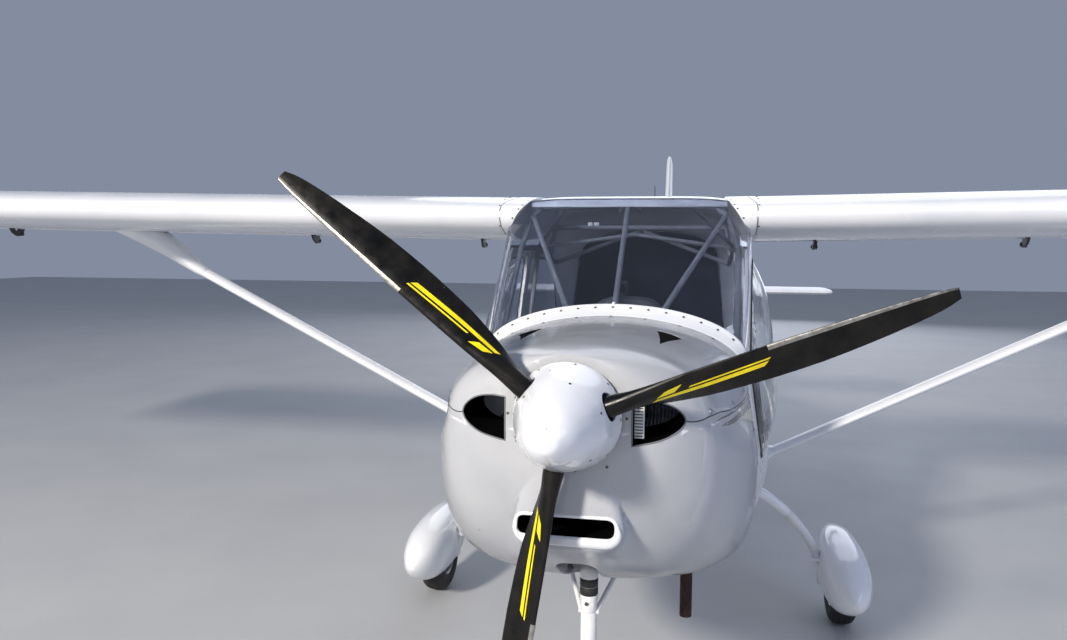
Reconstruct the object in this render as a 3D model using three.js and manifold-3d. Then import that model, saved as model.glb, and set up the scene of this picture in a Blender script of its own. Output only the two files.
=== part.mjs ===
// Two-seat high-wing light aircraft with a tractor propeller and a fixed nose-wheel landing gear.
// Millimetres. X runs along the span, nose towards -Y, Z up. The ground is z = 0.
// Stations are measured aft of the propeller's plane, and turned into Y when a piece is added.
import * as THREE from "three";
import { mergeVertices } from "three/addons/utils/BufferGeometryUtils.js";
import Module from "manifold-3d";

const wasm = await Module();
wasm.setup();

// Driving dimensions
const LENGTH = 6230;
const NOSE_TIP = -215;
const MID_STATION = NOSE_TIP + LENGTH / 2;
const GAP = 0.35;
const SPLIT_GAP = 1;

const HUB_Z = 1265;
const BLADE_ANGLES = [20.4, 140.4, 260.4];
const SPINNER_BACK = 66;

const COWL_WALL = 12;
const COWL_SPLIT_Z = 1228;
const FIREWALL = 1003;
const DECK_END = 1062;
const CABIN_WALL = 20;
const TAIL_WALL = 10;
const CABIN_END = 2900;
const DOOR_FRONT = 1078;
const DOOR_REAR = 1925;
const DOOR_BOTTOM = 742;
const DOOR_TOP = 1642;

const WING_LE = 1451;
const WING_ROOT_X = 489;
const WING_ROOT_Z = 1771;
const DIHEDRAL = Math.tan(THREE.MathUtils.degToRad(1));
const FLAP_IN = 520;
const FLAP_OUT = 4760;
const BRACKETS_X = [808, 1730, 2650, 3570, 4490];

const STAB_Z = 1302;
const STAB_HALF = 1262;
const STAB_LE = 4950;
const STAB_TE = 5398;
const ELEVATOR_HINGE = 5425;
const ELEVATOR_TE = 5775;
const FIN_TOP = 2377;
const RUDDER_HINGE = 5552;
const RUDDER_TE = 6015;

const WHEEL_R = 170;
const MAIN = { x: 921, s: 2030 };
const NOSE_AXIS_S = 500;
const NOSE_WHEEL_S = 535;

// Colours read from the photograph
const paint = { color: 0xe9ebf0, roughness: 0.25, metalness: 0 };
const shadedPaint = { color: 0xdcdfe6, roughness: 0.35, metalness: 0 };
const glass = { color: 0x9fb0c4, roughness: 0.08, metalness: 0 };
const darkGlass = { color: 0x46526b, roughness: 0.1, metalness: 0 };
const tubeGrey = { color: 0x8b8f98, roughness: 0.45, metalness: 0.2 };
const carbon = { color: 0x17181b, roughness: 0.25, metalness: 0 };
const steel = { color: 0xa9adb3, roughness: 0.35, metalness: 0.9 };
const rubber = { color: 0x1c1c1d, roughness: 0.85, metalness: 0 };
const cloth = { color: 0x39404f, roughness: 0.9, metalness: 0 };
const panelBlack = { color: 0x202228, roughness: 0.6, metalness: 0 };
const rust = { color: 0x4a3329, roughness: 0.7, metalness: 0.4 };
const castMetal = { color: 0x6d7074, roughness: 0.6, metalness: 0.6 };

const root = new THREE.Group();

// Turns a geometry into a solid, facing out whichever way its triangles were wound.
function solid(geometry) {
  const bare = new THREE.BufferGeometry();
  const source = geometry.index ? geometry.toNonIndexed() : geometry;
  bare.setAttribute("position", source.getAttribute("position").clone());
  const merged = mergeVertices(bare, 1e-3);
  const p = merged.attributes.position.array;
  const t = Uint32Array.from(merged.index.array);
  let volume = 0;
  for (let i = 0; i < t.length; i += 3) {
    const [a, b, c] = [t[i] * 3, t[i + 1] * 3, t[i + 2] * 3];
    volume +=
      p[a] * (p[b + 1] * p[c + 2] - p[b + 2] * p[c + 1]) -
      p[a + 1] * (p[b] * p[c + 2] - p[b + 2] * p[c]) +
      p[a + 2] * (p[b] * p[c + 1] - p[b + 1] * p[c]);
  }
  if (volume < 0) {
    for (let i = 0; i < t.length; i += 3) {
      [t[i + 1], t[i + 2]] = [t[i + 2], t[i + 1]];
    }
  }
  return new wasm.Manifold(new wasm.Mesh({ numProp: 3, vertProperties: p, triVerts: t }));
}

// A solid's own triangles, with each vertex passed through a function.
function moved(made, f) {
  const m = made.getMesh();
  const out = [];
  for (const i of m.triVerts) {
    const k = i * m.numProp;
    out.push(...f(m.vertProperties[k], m.vertProperties[k + 1], m.vertProperties[k + 2]));
  }
  const g = new THREE.BufferGeometry();
  g.setAttribute("position", new THREE.Float32BufferAttribute(out, 3));
  return g;
}

const mirrored = (made) => solid(moved(made, (x, y, z) => [-x, y, z]));

// Adds one named mesh, shifted from station to Y.
function add(name, made, look) {
  const g = moved(made, (x, y, z) => [x, y - MID_STATION, z]);
  g.computeVertexNormals();
  const mesh = new THREE.Mesh(g, new THREE.MeshStandardMaterial(look));
  mesh.name = name;
  root.add(mesh);
}

function pair(name, left, look) {
  add(name + "_left", left, look);
  add(name + "_right", mirrored(left), look);
}

// Flat cap over a closed ring of points, seen along its own normal.
function capTriangles(ring) {
  const n = new THREE.Vector3();
  ring.forEach((p, i) => {
    const q = ring[(i + 1) % ring.length];
    n.x += (p[1] - q[1]) * (p[2] + q[2]);
    n.y += (p[2] - q[2]) * (p[0] + q[0]);
    n.z += (p[0] - q[0]) * (p[1] + q[1]);
  });
  const a = [Math.abs(n.x), Math.abs(n.y), Math.abs(n.z)];
  const drop = a.indexOf(Math.max(...a));
  const [i, j] = [0, 1, 2].filter((k) => k !== drop);
  const flat = ring.map((p) => new THREE.Vector2(p[i], p[j]));
  return THREE.ShapeUtils.triangulateShape(flat, []);
}

// A closed skin through rings that all have the same number of points.
function loft(rings) {
  const n = rings[0].length;
  const points = rings.flat();
  const faces = [];
  for (let r = 0; r + 1 < rings.length; r++) {
    for (let i = 0; i < n; i++) {
      const [a, b] = [r * n + i, r * n + ((i + 1) % n)];
      faces.push([a, b, b + n], [a, b + n, a + n]);
    }
  }
  const probe = signOf(points, faces);
  for (const [base, first] of [[0, true], [(rings.length - 1) * n, false]]) {
    const ring = rings[first ? 0 : rings.length - 1];
    const caps = capTriangles(ring).map((f) => f.map((k) => k + base));
    faces.push(...orientCap(points, caps, faces, probe));
  }
  const g = new THREE.BufferGeometry();
  const flat = faces.flatMap((f) => f.flatMap((k) => points[k]));
  g.setAttribute("position", new THREE.Float32BufferAttribute(flat, 3));
  return solid(g);
}

// The edges that the walls already use, so that a cap can run along them the other way.
function signOf(points, faces) {
  const used = new Set();
  for (const [a, b, c] of faces) {
    used.add(a + "," + b);
    used.add(b + "," + c);
    used.add(c + "," + a);
  }
  return used;
}

function orientCap(points, caps, faces, used) {
  const clash = caps.some(([a, b, c]) =>
    used.has(a + "," + b) || used.has(b + "," + c) || used.has(c + "," + a));
  return clash ? caps.map(([a, b, c]) => [a, c, b]) : caps;
}

// A flat outline pushed along one axis from low to high. The outline's pairs are the other two axes in order.
function prism(outline, axis, low, high) {
  const at = (v) => outline.map(([p, q]) =>
    axis === "x" ? [v, p, q] : axis === "y" ? [p, v, q] : [p, q, v]);
  return loft([at(low), at(high)]);
}

const box = (x0, x1, s0, s1, z0, z1) =>
  prism([[x0, s0], [x1, s0], [x1, s1], [x0, s1]], "z", z0, z1);

function joined(...pieces) {
  return pieces.flat().reduce((a, b) => a.add(b));
}

function cut(made, ...tools) {
  return tools.flat().reduce((a, b) => a.subtract(b), made);
}

// A round or oval bar along a path of points, with mitred corners.
function bar(path, radius, sides = 10) {
  const pts = path.map((p) => new THREE.Vector3(...p));
  const radii = Array.isArray(radius) ? radius : path.map(() => radius);
  const dirs = pts.slice(1).map((p, i) => p.clone().sub(pts[i]).normalize());
  const normal0 = Math.abs(dirs[0].z) < 0.9 ? new THREE.Vector3(0, 0, 1) : new THREE.Vector3(0, 1, 0);
  let side = new THREE.Vector3().crossVectors(dirs[0], normal0).normalize();
  const rings = pts.map((p, i) => {
    const before = dirs[Math.max(0, i - 1)];
    const after = dirs[Math.min(dirs.length - 1, i)];
    const t = before.clone().add(after).normalize();
    side = side.clone().sub(t.clone().multiplyScalar(side.dot(t))).normalize();
    const up = new THREE.Vector3().crossVectors(t, side);
    return Array.from({ length: sides }, (_, k) => {
      const a = (2 * Math.PI * k) / sides;
      return p.clone()
        .addScaledVector(side, Math.cos(a) * radii[i])
        .addScaledVector(up, Math.sin(a) * radii[i])
        .toArray();
    });
  });
  return loft(rings);
}

// A turned solid: its profile holds [radius, distance along the axis] and starts and ends on the axis or closes.
function turned(profile, origin, axis, sides = 32, start = 0) {
  const g = new THREE.LatheGeometry(profile.map(([r, d]) => new THREE.Vector2(r, d)), sides, start);
  const q = new THREE.Quaternion().setFromUnitVectors(
    new THREE.Vector3(0, 1, 0), new THREE.Vector3(...axis).normalize());
  g.applyQuaternion(q).translate(...origin);
  return solid(g);
}

// Body sections. Columns: station, bottom, half width, its height, shoulder half width, its height, top,
// roundness below and above (2 is round, more is squarer).
const BODY = [
  [75, 1118, 150, 1262, 149, 1280, 1405, 2.0, 2.0],
  [130, 968, 262, 1235, 260, 1262, 1412, 2.1, 2.1],
  [200, 874, 325, 1200, 322, 1235, 1416, 2.3, 2.2],
  [300, 806, 372, 1160, 354, 1215, 1419, 2.5, 2.1],
  [450, 742, 418, 1115, 398, 1200, 1421, 2.8, 2.05],
  [600, 698, 450, 1075, 424, 1205, 1422, 3.0, 2.0],
  [800, 652, 472, 1030, 439, 1226, 1422, 3.0, 2.0],
  [1000, 622, 486, 985, 436, 1246, 1420, 3.2, 1.95],
  [1062, 614, 494, 975, 447, 1270, 1446, 3.2, 1.95],
  [1540, 562, 560, 900, 472, 1658, 1837, 3.2, 3.4],
  [1700, 552, 568, 885, 472, 1658, 1852, 3.2, 3.6],
  [1900, 545, 573, 880, 472, 1658, 1860, 3.2, 3.6],
  [2150, 545, 571, 880, 472, 1658, 1857, 3.2, 3.6],
  [2450, 572, 548, 900, 462, 1650, 1828, 3.2, 3.2],
  [2900, 655, 455, 960, 385, 1540, 1735, 3.0, 2.8],
  [3400, 745, 355, 1030, 300, 1405, 1602, 2.8, 2.6],
  [4200, 890, 225, 1110, 190, 1290, 1432, 2.6, 2.4],
  [4950, 1000, 118, 1150, 100, 1228, 1312, 2.4, 2.2],
  [5500, 1050, 50, 1155, 44, 1200, 1258, 2.2, 2.2],
];

function bodyRow(s) {
  const i = BODY.findIndex((row, k) => k + 1 < BODY.length && row[0] <= s && s <= BODY[k + 1][0]);
  const [a, b] = [BODY[i], BODY[i + 1]];
  const t = (s - a[0]) / (b[0] - a[0]);
  return a.map((v, k) => v + (b[k] - v) * t);
}

// One section of the body, taken in by a wall's thickness.
function bodyRing([s, bottom, hw, hwZ, sh, shZ, top, low, high], wall = 0, atStation = s) {
  const half = [];
  const QUARTER = 5;
  for (let i = 0; i <= QUARTER; i++) {
    const a = (Math.PI / 2) * (i / QUARTER);
    half.push([
      (hw - wall) * Math.sin(a) ** (2 / low),
      hwZ - (hwZ - bottom - wall) * Math.cos(a) ** (2 / low),
    ]);
  }
  for (let i = 0; i <= QUARTER; i++) {
    const a = (Math.PI / 2) * (i / QUARTER);
    half.push([
      (sh - wall) * Math.cos(a) ** (2 / high),
      shZ + (top - shZ - wall) * Math.sin(a) ** (2 / high),
    ]);
  }
  half[0][0] = 0;
  half[half.length - 1][0] = 0;
  const right = half.slice(1, -1).reverse().map(([x, z]) => [-x, z]);
  return [...half, ...right].map(([x, z]) => [x, atStation, z]);
}

function body(s0, s1, wall = 0) {
  const rows = [
    bodyRow(s0),
    ...BODY.filter((row) => row[0] > s0 + 1 && row[0] < s1 - 1),
    bodyRow(s1),
  ];
  return loft(rows.map((row) => bodyRing(row, wall)));
}

// A length of hollow body. The core runs past both ends, so that the ends are open.
function tubeOfBody(s0, s1, wall) {
  const rows = [
    bodyRow(s0),
    ...BODY.filter((row) => row[0] > s0 + 1 && row[0] < s1 - 1),
    bodyRow(s1),
  ];
  const core = rows.map((row) => bodyRing(row, wall));
  core.unshift(bodyRing(bodyRow(s0), wall, s0 - 5));
  core.push(bodyRing(bodyRow(s1), wall, s1 + 5));
  return cut(loft(rows.map((row) => bodyRing(row))), loft(core));
}

// Engine, its gearbox and its mounting tubes up to the firewall
const behindFirewall = box(-600, 600, FIREWALL - GAP, FIREWALL + 60, 500, 1500);
const ENGINE = { x: 280, s0: 330, s1: 890, z0: 950, z1: 1320 };
const engineMounts = [];
for (const sx of [-1, 1]) {
  for (const z of [985, 1285]) {
    engineMounts.push(cut(bar([[sx * 200, ENGINE.s1 - 20, z], [sx * 262, FIREWALL + 15, z]], 11, 6), behindFirewall));
  }
}
add("engine_block", joined(
  box(-ENGINE.x, ENGINE.x, ENGINE.s0, ENGINE.s1, ENGINE.z0, ENGINE.z1),
  turned([[0, 0], [62, 0], [62, 290], [0, 290]], [0, SPINNER_BACK + 6, HUB_Z], [0, 1, 0], 20),
  engineMounts,
), castMetal);

// Cowl shell with its openings, split into an upper and a lower half
const cowlRows = [bodyRow(75), ...BODY.filter((row) => row[0] > 76 && row[0] < 1000), bodyRow(1000)];
const cowlCore = [
  bodyRing(bodyRow(90), COWL_WALL + 14),
  ...BODY.filter((row) => row[0] > 100 && row[0] < 1000).map((row) => bodyRing(row, COWL_WALL)),
  bodyRing(bodyRow(1000), COWL_WALL, 1006),
];
const INLET = [[152, 1206], [152, 1306], [196, 1304], [238, 1288], [268, 1252], [250, 1226], [205, 1208]];
const MOUTH = { x: 118, z0: 962, z1: 1024 };
const CHIN = [
  // station, half width, bottom, top
  [92, 128, 944, 1040],
  [104, 142, 934, 1050],
  [240, 172, 838, 1060],
  [460, 210, 728, 1000],
  [760, 240, 652, 900],
];
function chin(wall) {
  return loft(CHIN.map(([s, w, z0, z1], k) => {
    const r = (z1 - z0) / 2 - wall;
    const mid = (z0 + z1) / 2;
    const reach = Math.max(w - wall - r * 0.6, 5);
    const ends = k === 0 ? s - wall * 0.4 : s + wall * 0.4;
    return Array.from({ length: 16 }, (_, i) => {
      const a = (2 * Math.PI * (i + 0.5)) / 16;
      const cx = Math.sign(Math.cos(a)) * reach;
      return [cx + r * 0.6 * Math.cos(a), wall ? ends : s, mid + r * Math.sin(a)];
    });
  }));
}
const cowlOuter = loft(cowlRows.map((row) => bodyRing(row))).add(chin(0));
const cowlInner = loft(cowlCore);
const mouthCut = prism([
  [-MOUTH.x, MOUTH.z0 + 14], [-MOUTH.x + 14, MOUTH.z0], [MOUTH.x - 14, MOUTH.z0], [MOUTH.x, MOUTH.z0 + 14],
  [MOUTH.x, MOUTH.z1 - 14], [MOUTH.x - 14, MOUTH.z1], [-MOUTH.x + 14, MOUTH.z1], [-MOUTH.x, MOUTH.z1 - 14],
], "y", 60, 300);
const inletCuts = [
  prism(INLET, "y", 60, 260),
  prism(INLET.map(([x, z]) => [-x, z]), "y", 60, 260),
];
const gearboxHole = turned([[0, 0], [78, 0], [78, 60], [0, 60]], [0, 60, HUB_Z], [0, 1, 0], 24);
const cowl = cut(cowlOuter, cowlInner, mouthCut, inletCuts, gearboxHole);
const outlet = box(-330, 330, 905, 1010, 560, 760);
const noseLegHole = turned([[0, 0], [62, 0], [62, 160], [0, 160]], [0, NOSE_AXIS_S, 640], [0, 0, 1], 20);
add("cowl_upper", cut(cowl, box(-600, 600, 0, 1100, 500, COWL_SPLIT_Z)), paint);
add("cowl_lower", cut(cowl, box(-600, 600, 0, 1100, COWL_SPLIT_Z - SPLIT_GAP, 1600), outlet, noseLegHole), paint);

// Firewall across the front of the cabin
const FIREWALL_T = 12;
const firewallRows = [bodyRing(bodyRow(1003), 2), bodyRing(bodyRow(1015), 2, 1003 + FIREWALL_T)];
add("firewall", loft(firewallRows), steel);

// Exhaust tail pipe, from under the engine down through the cowl's outlet
const PIPE = [[226, 800, ENGINE.z0 - GAP], [240, 860, 860], [265, 962, 800], [265, 962, 428]];
add("exhaust_pipe", cut(bar(PIPE, 20, 12), bar([[265, 962, 640], [265, 962, 400]], 16.5, 12),
  box(-300, 300, 500, 1000, ENGINE.z0 - GAP, 1100)), rust);

// Cabin shell: floor and lower sides, a hoop at the windscreen's foot, and the rear sides with their windows
const REAR_WINDOW = [[2010, 1090], [2640, 1130], [2700, 1230], [2560, 1500], [2400, 1585], [2010, 1600]];
const shell = tubeOfBody(FIREWALL + FIREWALL_T + GAP, CABIN_END, CABIN_WALL);
const rearWindowCut = prism(REAR_WINDOW, "x", -700, 700);
const shoulderZ = (s) => bodyRow(s)[5];
const doorway = prism([
  [DOOR_FRONT - 8, DOOR_BOTTOM - 10], [DOOR_REAR + 9, DOOR_BOTTOM - 10], [DOOR_REAR + 9, 1950],
  [DOOR_FRONT - 8, 1950],
], "x", -700, 700);
const roofLine = prism([
  [1930, 1658], [2450, 1650], [CABIN_END + 20, 1530], [CABIN_END + 20, 1900], [1930, 1900],
], "x", -700, 700);
const aboveDeck = box(-700, 700, DECK_END, 1100, 742, 1900);
const bulkheadRing = cut(
  loft([bodyRing(bodyRow(CABIN_END - 14), 2), bodyRing(bodyRow(CABIN_END), 2)]),
  box(-700, 700, CABIN_END - 30, CABIN_END + 10, 1535, 1900),
);
const tub = cut(joined(shell, bulkheadRing), doorway, roofLine, rearWindowCut, aboveDeck);
add("cabin_tub", tub, paint);

// A piece of the body's skin, of one thickness, inside an outline
function panel(s0, s1, wall, outline, axis, low, high) {
  return tubeOfBody(s0, s1, wall).intersect(prism(outline, axis, low, high));
}

const GLASS = 5;
add("rear_window_left", panel(1990, 2720, GLASS, inset(REAR_WINDOW, 1), "x", 200, 700), glass);
add("rear_window_right", panel(1990, 2720, GLASS, inset(REAR_WINDOW, 1), "x", -700, -200), glass);

// Moves each side of a convex outline inwards by a distance.
function inset(outline, d) {
  const n = outline.length;
  let area = 0;
  outline.forEach(([x, y], i) => {
    const [u, v] = outline[(i + 1) % n];
    area += x * v - u * y;
  });
  const turn = Math.sign(area);
  const lines = outline.map(([x, y], i) => {
    const [u, v] = outline[(i + 1) % n];
    const l = Math.hypot(u - x, v - y);
    const [nx, ny] = [(-(v - y) / l) * turn, ((u - x) / l) * turn];
    return [x + nx * d, y + ny * d, (u - x) / l, (v - y) / l];
  });
  return lines.map(([x, y, dx, dy], i) => {
    const [p, q, ex, ey] = lines[(i + n - 1) % n];
    const t = ((p - x) * ey - (q - y) * ex) / (dx * ey - dy * ex);
    return [x + dx * t, y + dy * t];
  });
}

// Windscreen, roof glass and rear roof between the wing roots
const ROOF_SPLIT = 2150;
const screenSide = [
  [DECK_END + 1, shoulderZ(DECK_END) + 3], [1539, 1661], [1539, 1900], [DECK_END + 1, 1600],
];
const fairingInner = [
  // half width and height of the wing root fairing's inner edge
  [474, 1640], [470, 1668], [464, 1702], [424, 1768], [384, 1832], [372, 1900],
];
const betweenFairings = (grow) => prism([
  ...fairingInner.map(([x, z]) => [x + grow, z]),
  ...fairingInner.slice().reverse().map(([x, z]) => [-x - grow, z]),
], "y", 1400, 2520);
const windscreenWhole = panel(DECK_END + 1, 1539, GLASS, screenSide, "x", -700, 700);
const fairingZone = joined(
  box(300, 700, WING_LE - 6, 2520, 1655, 1950), box(-700, -300, WING_LE - 6, 2520, 1655, 1950),
).subtract(betweenFairings(-2));
add("windscreen", cut(windscreenWhole, fairingZone), darkGlass);
const roofWhole = panel(1541, ROOF_SPLIT, GLASS, [[1541, 1662], [ROOF_SPLIT, 1662], [ROOF_SPLIT, 1900], [1541, 1900]],
  "x", -700, 700);
const belowRoofEdge = box(-700, 700, 1540, 2524, 1600, 1792);
add("roof_glass", cut(roofWhole, fairingZone, belowRoofEdge), darkGlass);
const rearRoof = panel(ROOF_SPLIT + 1, CABIN_END, 12, [
  [ROOF_SPLIT + 1, 1662], [2450, 1652], [CABIN_END, 1546], [CABIN_END, 1900], [ROOF_SPLIT + 1, 1900],
], "x", -700, 700);
add("roof_fairing", cut(rearRoof, fairingZone, belowRoofEdge), paint);

// Wing: section outline as [distance aft of the leading edge, height above the leading edge at the root]
const WING_SECTION = [
  [0, 0], [12, 22], [40, 40], [90, 57], [170, 71], [290, 81], [420, 84], [600, 81], [780, 69], [940, 50],
  [1060, 29], [1058, 20], [980, 23], [978, -72], [820, -83], [600, -92], [420, -95], [250, -89], [130, -75],
  [60, -58], [20, -34],
];
const wingRise = (x) => (Math.abs(x) - WING_ROOT_X) * DIHEDRAL;
const TIP_ROWS = [
  // x, thickness share, move of the nose aft, share of the chord
  [WING_ROOT_X + GAP, 1, 0, 1],
  [4780, 1, 0, 1],
  [4920, 0.92, 12, 0.985],
  [5000, 0.7, 45, 0.95],
  [5040, 0.42, 90, 0.9],
  [5050, 0.15, 130, 0.85],
];
function wingRing([x, thick, back, chord]) {
  return WING_SECTION.map(([s, z]) => [
    x, WING_LE + back + s * chord, WING_ROOT_Z + wingRise(x) + 5 + (z - 5) * thick,
  ]);
}
const bracketPlates = BRACKETS_X.map((x) => {
  const rise = wingRise(x);
  return prism([
    [2380, 1692], [2424, 1704], [2428, 1664], [2492, 1657], [2494, 1634], [2440, 1630], [2404, 1652],
  ].map(([s, z]) => [s, z + rise]), "x", x - 6, x + 6);
});
const wing = joined(loft(TIP_ROWS.map(wingRing)), bracketPlates);
pair("wing", wing, paint);

// Wing root fairing
const rootSlab = prism(WING_SECTION.map(([s, z]) => [WING_LE + s, WING_ROOT_Z + z]), "x", 340, WING_ROOT_X - GAP);
pair("root_fairing", cut(rootSlab, betweenFairings(0.5), box(0, 486, 1400, 2600, 1600, 1661.5)), paint);

// Flaperon, hung below and behind the wing on its brackets
const FLAP_SECTION = [
  [2450, 1690], [2458, 1706], [2480, 1722], [2530, 1738], [2600, 1742], [2700, 1732], [2851, 1711],
  [2851, 1707], [2700, 1697], [2600, 1684], [2500, 1672], [2465, 1674],
];
const flapRing = (x, share) => FLAP_SECTION.map(([s, z]) => [
  x, 2480 + (s - 2480) * (0.9 + 0.1 * share), 1705 + (z - 1705) * share + wingRise(x),
]);
const flapLugs = BRACKETS_X.map((x) => prism(
  [[2466, 1680], [2524, 1682], [2500, 1632], [2470, 1632]].map(([s, z]) => [s, z + wingRise(x)]),
  "x", x + 12, x + 20,
));
const flap = joined(
  loft([flapRing(FLAP_IN, 1), flapRing(FLAP_OUT - 30, 1), flapRing(FLAP_OUT, 0.6)]), flapLugs,
);
pair("flaperon", flap, paint);

// Wing strut with its upper fairing
const STRUT = { x0: 500, z0: 697, x1: 2560, z1: 1752, s0: 2012, s1: 1960, chord: 104, thick: 46 };
const lens = (x, s, z, chord, thick) => [
  [-0.5, 0], [-0.38, 0.34], [-0.15, 0.5], [0.15, 0.4], [0.38, 0.15], [0.5, 0],
  [0.38, -0.15], [0.15, -0.4], [-0.15, -0.5], [-0.38, -0.34],
].map(([a, b]) => [x, s + a * chord, z + b * thick]);
const strutBar = loft([
  lens(STRUT.x0, STRUT.s0, STRUT.z0, STRUT.chord, STRUT.thick),
  lens(STRUT.x1, STRUT.s1, STRUT.z1, STRUT.chord, STRUT.thick),
]);
const strutCap = loft([
  lens(2080, 1972, 1508, 108, 50), lens(2200, 1969, 1590, 130, 100), lens(2310, 1966, 1662, 150, 130),
  lens(2530, 1962, 1742, 160, 90),
]);
const underWing = prism([
  [1700, 1676 + wingRise(1700) - GAP], [2700, 1676 + wingRise(2700) - GAP], [2700, 2000], [1700, 2000],
], "y", 1700, 2100);
const bodySkin = body(1100, 2400, -GAP);
pair("strut", cut(joined(strutBar, strutCap), underWing, bodySkin), paint);

// Main landing gear: leg with its axle, hollow spat, tyre and rim
const AXLE_R = 14.5;
const LEG = [
  [440, 1990, 618], [530, 1988, 588], [620, 1988, 536], [700, 1992, 468], [768, 2002, 384], [812, 2014, 300],
  [832, 2024, 225], [838, 2030, WHEEL_R],
];
const legBar = bar(LEG, [24, 22, 21, 20, 19, 19, 19, 19], 8);
const axleAt = (x0, x1, r, s, z = WHEEL_R) =>
  turned([[0, 0], [r, 0], [r, x1 - x0], [0, x1 - x0]], [x0, s, z], [1, 0, 0], 24);
const leg = joined(legBar, axleAt(834, 984, AXLE_R, MAIN.s));
pair("gear_leg", cut(leg, bodySkin), shadedPaint);

const SPAT = [
  // station from the axle, half width, half height, centre height
  [-402, 10, 10, 243],
  [-372, 42, 45, 243],
  [-307, 74, 90, 244],
  [-205, 95, 123, 245],
  [-65, 101, 137, 246],
  [75, 97, 133, 250],
  [205, 79, 108, 261],
  [316, 47, 66, 275],
  [390, 13, 22, 286],
];
function spatShape(x0, s0, scale, wall) {
  return loft(SPAT.map(([s, w, h, z], k) => {
    const inEnd = wall && (k === 0 ? wall * 1.5 : k === SPAT.length - 1 ? -wall * 1.5 : 0);
    return Array.from({ length: 12 }, (_, i) => {
      const a = (2 * Math.PI * (i + 0.5)) / 12;
      const c = Math.cos(a);
      const d = Math.sin(a);
      return [
        x0 + Math.max(w * scale - wall, 3) * Math.sign(c) * Math.abs(c) ** 0.8,
        s0 + s * scale + inEnd,
        50 + (z - 50) * scale + Math.max(h * scale - wall, 3) * Math.sign(d) * Math.abs(d) ** 0.8,
      ];
    });
  }));
}
const wheelWell = (x, s, r, z) => turned([[0, -64], [r, -64], [r, 64], [0, 64]], [x, s, z], [1, 0, 0], 28);
const SPAT_WALL = 9;
const spat = cut(
  spatShape(MAIN.x, MAIN.s, 1, 0),
  spatShape(MAIN.x, MAIN.s, 1, SPAT_WALL),
  wheelWell(MAIN.x, MAIN.s, WHEEL_R + 13, WHEEL_R),
  bar(LEG, 24, 8),
  axleAt(790, 989, 24, MAIN.s),
);
pair("spat", spat, paint);

const TYRE = [
  // radius, distance from the middle
  [96, -46], [118, -54], [146, -52], [165, -36], [170, -12], [170, 12], [165, 36], [146, 52], [118, 54],
  [96, 46], [96, -46],
];
const RIM = [
  [15.5, -44], [38, -44], [42, -18], [95.6, -46], [95.6, 46], [42, 18], [38, 44], [15.5, 44], [15.5, -44],
];
// The tread's flats lie at the wheel's radius, and one of them rests on the ground.
const SIDES = 24;
const FLAT = 1 / Math.cos(Math.PI / SIDES);
const tyreAt = (x, s, size = 1) => turned(
  TYRE.map(([r, d]) => [(96 + (r - 96) * size) * FLAT, d * size]), [x, s, 96 + (WHEEL_R - 96) * size],
  [1, 0, 0], SIDES, Math.PI / SIDES);
const rimAt = (x, s, size = 1) => turned(
  RIM.map(([r, d]) => [r, d * size]), [x, s, 96 + (WHEEL_R - 96) * size], [1, 0, 0], SIDES, Math.PI / SIDES);
pair("tyre", tyreAt(MAIN.x, MAIN.s), rubber);
pair("rim", rimAt(MAIN.x, MAIN.s), steel);

// Nose gear: fixed upper leg braced to the firewall, steered fork and spat, wheel
const legTop = joined(
  turned([[0, 0], [34, 0], [34, 62], [27, 66], [27, 230], [0, 230]], [0, NOSE_AXIS_S, 622], [0, 0, 1], 16),
  bar([[0, NOSE_AXIS_S, 835], [-192, FIREWALL + 10, 790]], 12, 6),
  bar([[0, NOSE_AXIS_S, 835], [192, FIREWALL + 10, 790]], 12, 6),
);
add("nose_leg", cut(legTop, behindFirewall), rubber);
const NOSE_SIZE = 0.8;
const NOSE_R = 96 + (WHEEL_R - 96) * NOSE_SIZE;
const NOSE_SPAT = 0.88;
const forkArms = [-1, 1].map((k) => bar([
  [k * 40, NOSE_AXIS_S + 2, 425], [k * 84, NOSE_AXIS_S + 8, 412], [k * 112, NOSE_WHEEL_S - 10, 340],
  [k * 112, NOSE_WHEEL_S, NOSE_R - 6],
], 13, 8));
add("nose_fork", joined(
  turned([[0, 0], [21, 0], [21, 206], [0, 206]], [0, NOSE_AXIS_S, 412], [0, 0, 1], 16),
  bar([[-46, NOSE_AXIS_S, 425], [46, NOSE_AXIS_S, 425]], 17, 8),
  forkArms,
  axleAt(-130, 130, AXLE_R, NOSE_WHEEL_S, NOSE_R),
), shadedPaint);
add("nose_spat", cut(
  spatShape(0, NOSE_WHEEL_S, NOSE_SPAT, 0),
  spatShape(0, NOSE_WHEEL_S, NOSE_SPAT, 8),
  wheelWell(0, NOSE_WHEEL_S, NOSE_R + 12, NOSE_R),
  axleAt(-200, 200, AXLE_R + 0.5, NOSE_WHEEL_S, NOSE_R),
), paint);
add("nose_tyre", tyreAt(0, NOSE_WHEEL_S, NOSE_SIZE), rubber);
add("nose_rim", rimAt(0, NOSE_WHEEL_S, NOSE_SIZE), steel);

// Propeller: hub with its back plate, spinner and three blades
const SPINNER = [
  // radius, station
  [0, NOSE_TIP], [30, -200], [56, -165], [80, -110], [97, -60], [106, -30], [116, 10], [127, SPINNER_BACK - 8],
];
const spinnerInner = SPINNER.map(([r, s]) => [Math.max(0, r - 5), s + 7]);
const spinnerProfile = [
  ...SPINNER, [122, SPINNER_BACK - 8], ...spinnerInner.slice(0, -1).reverse(),
];
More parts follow.
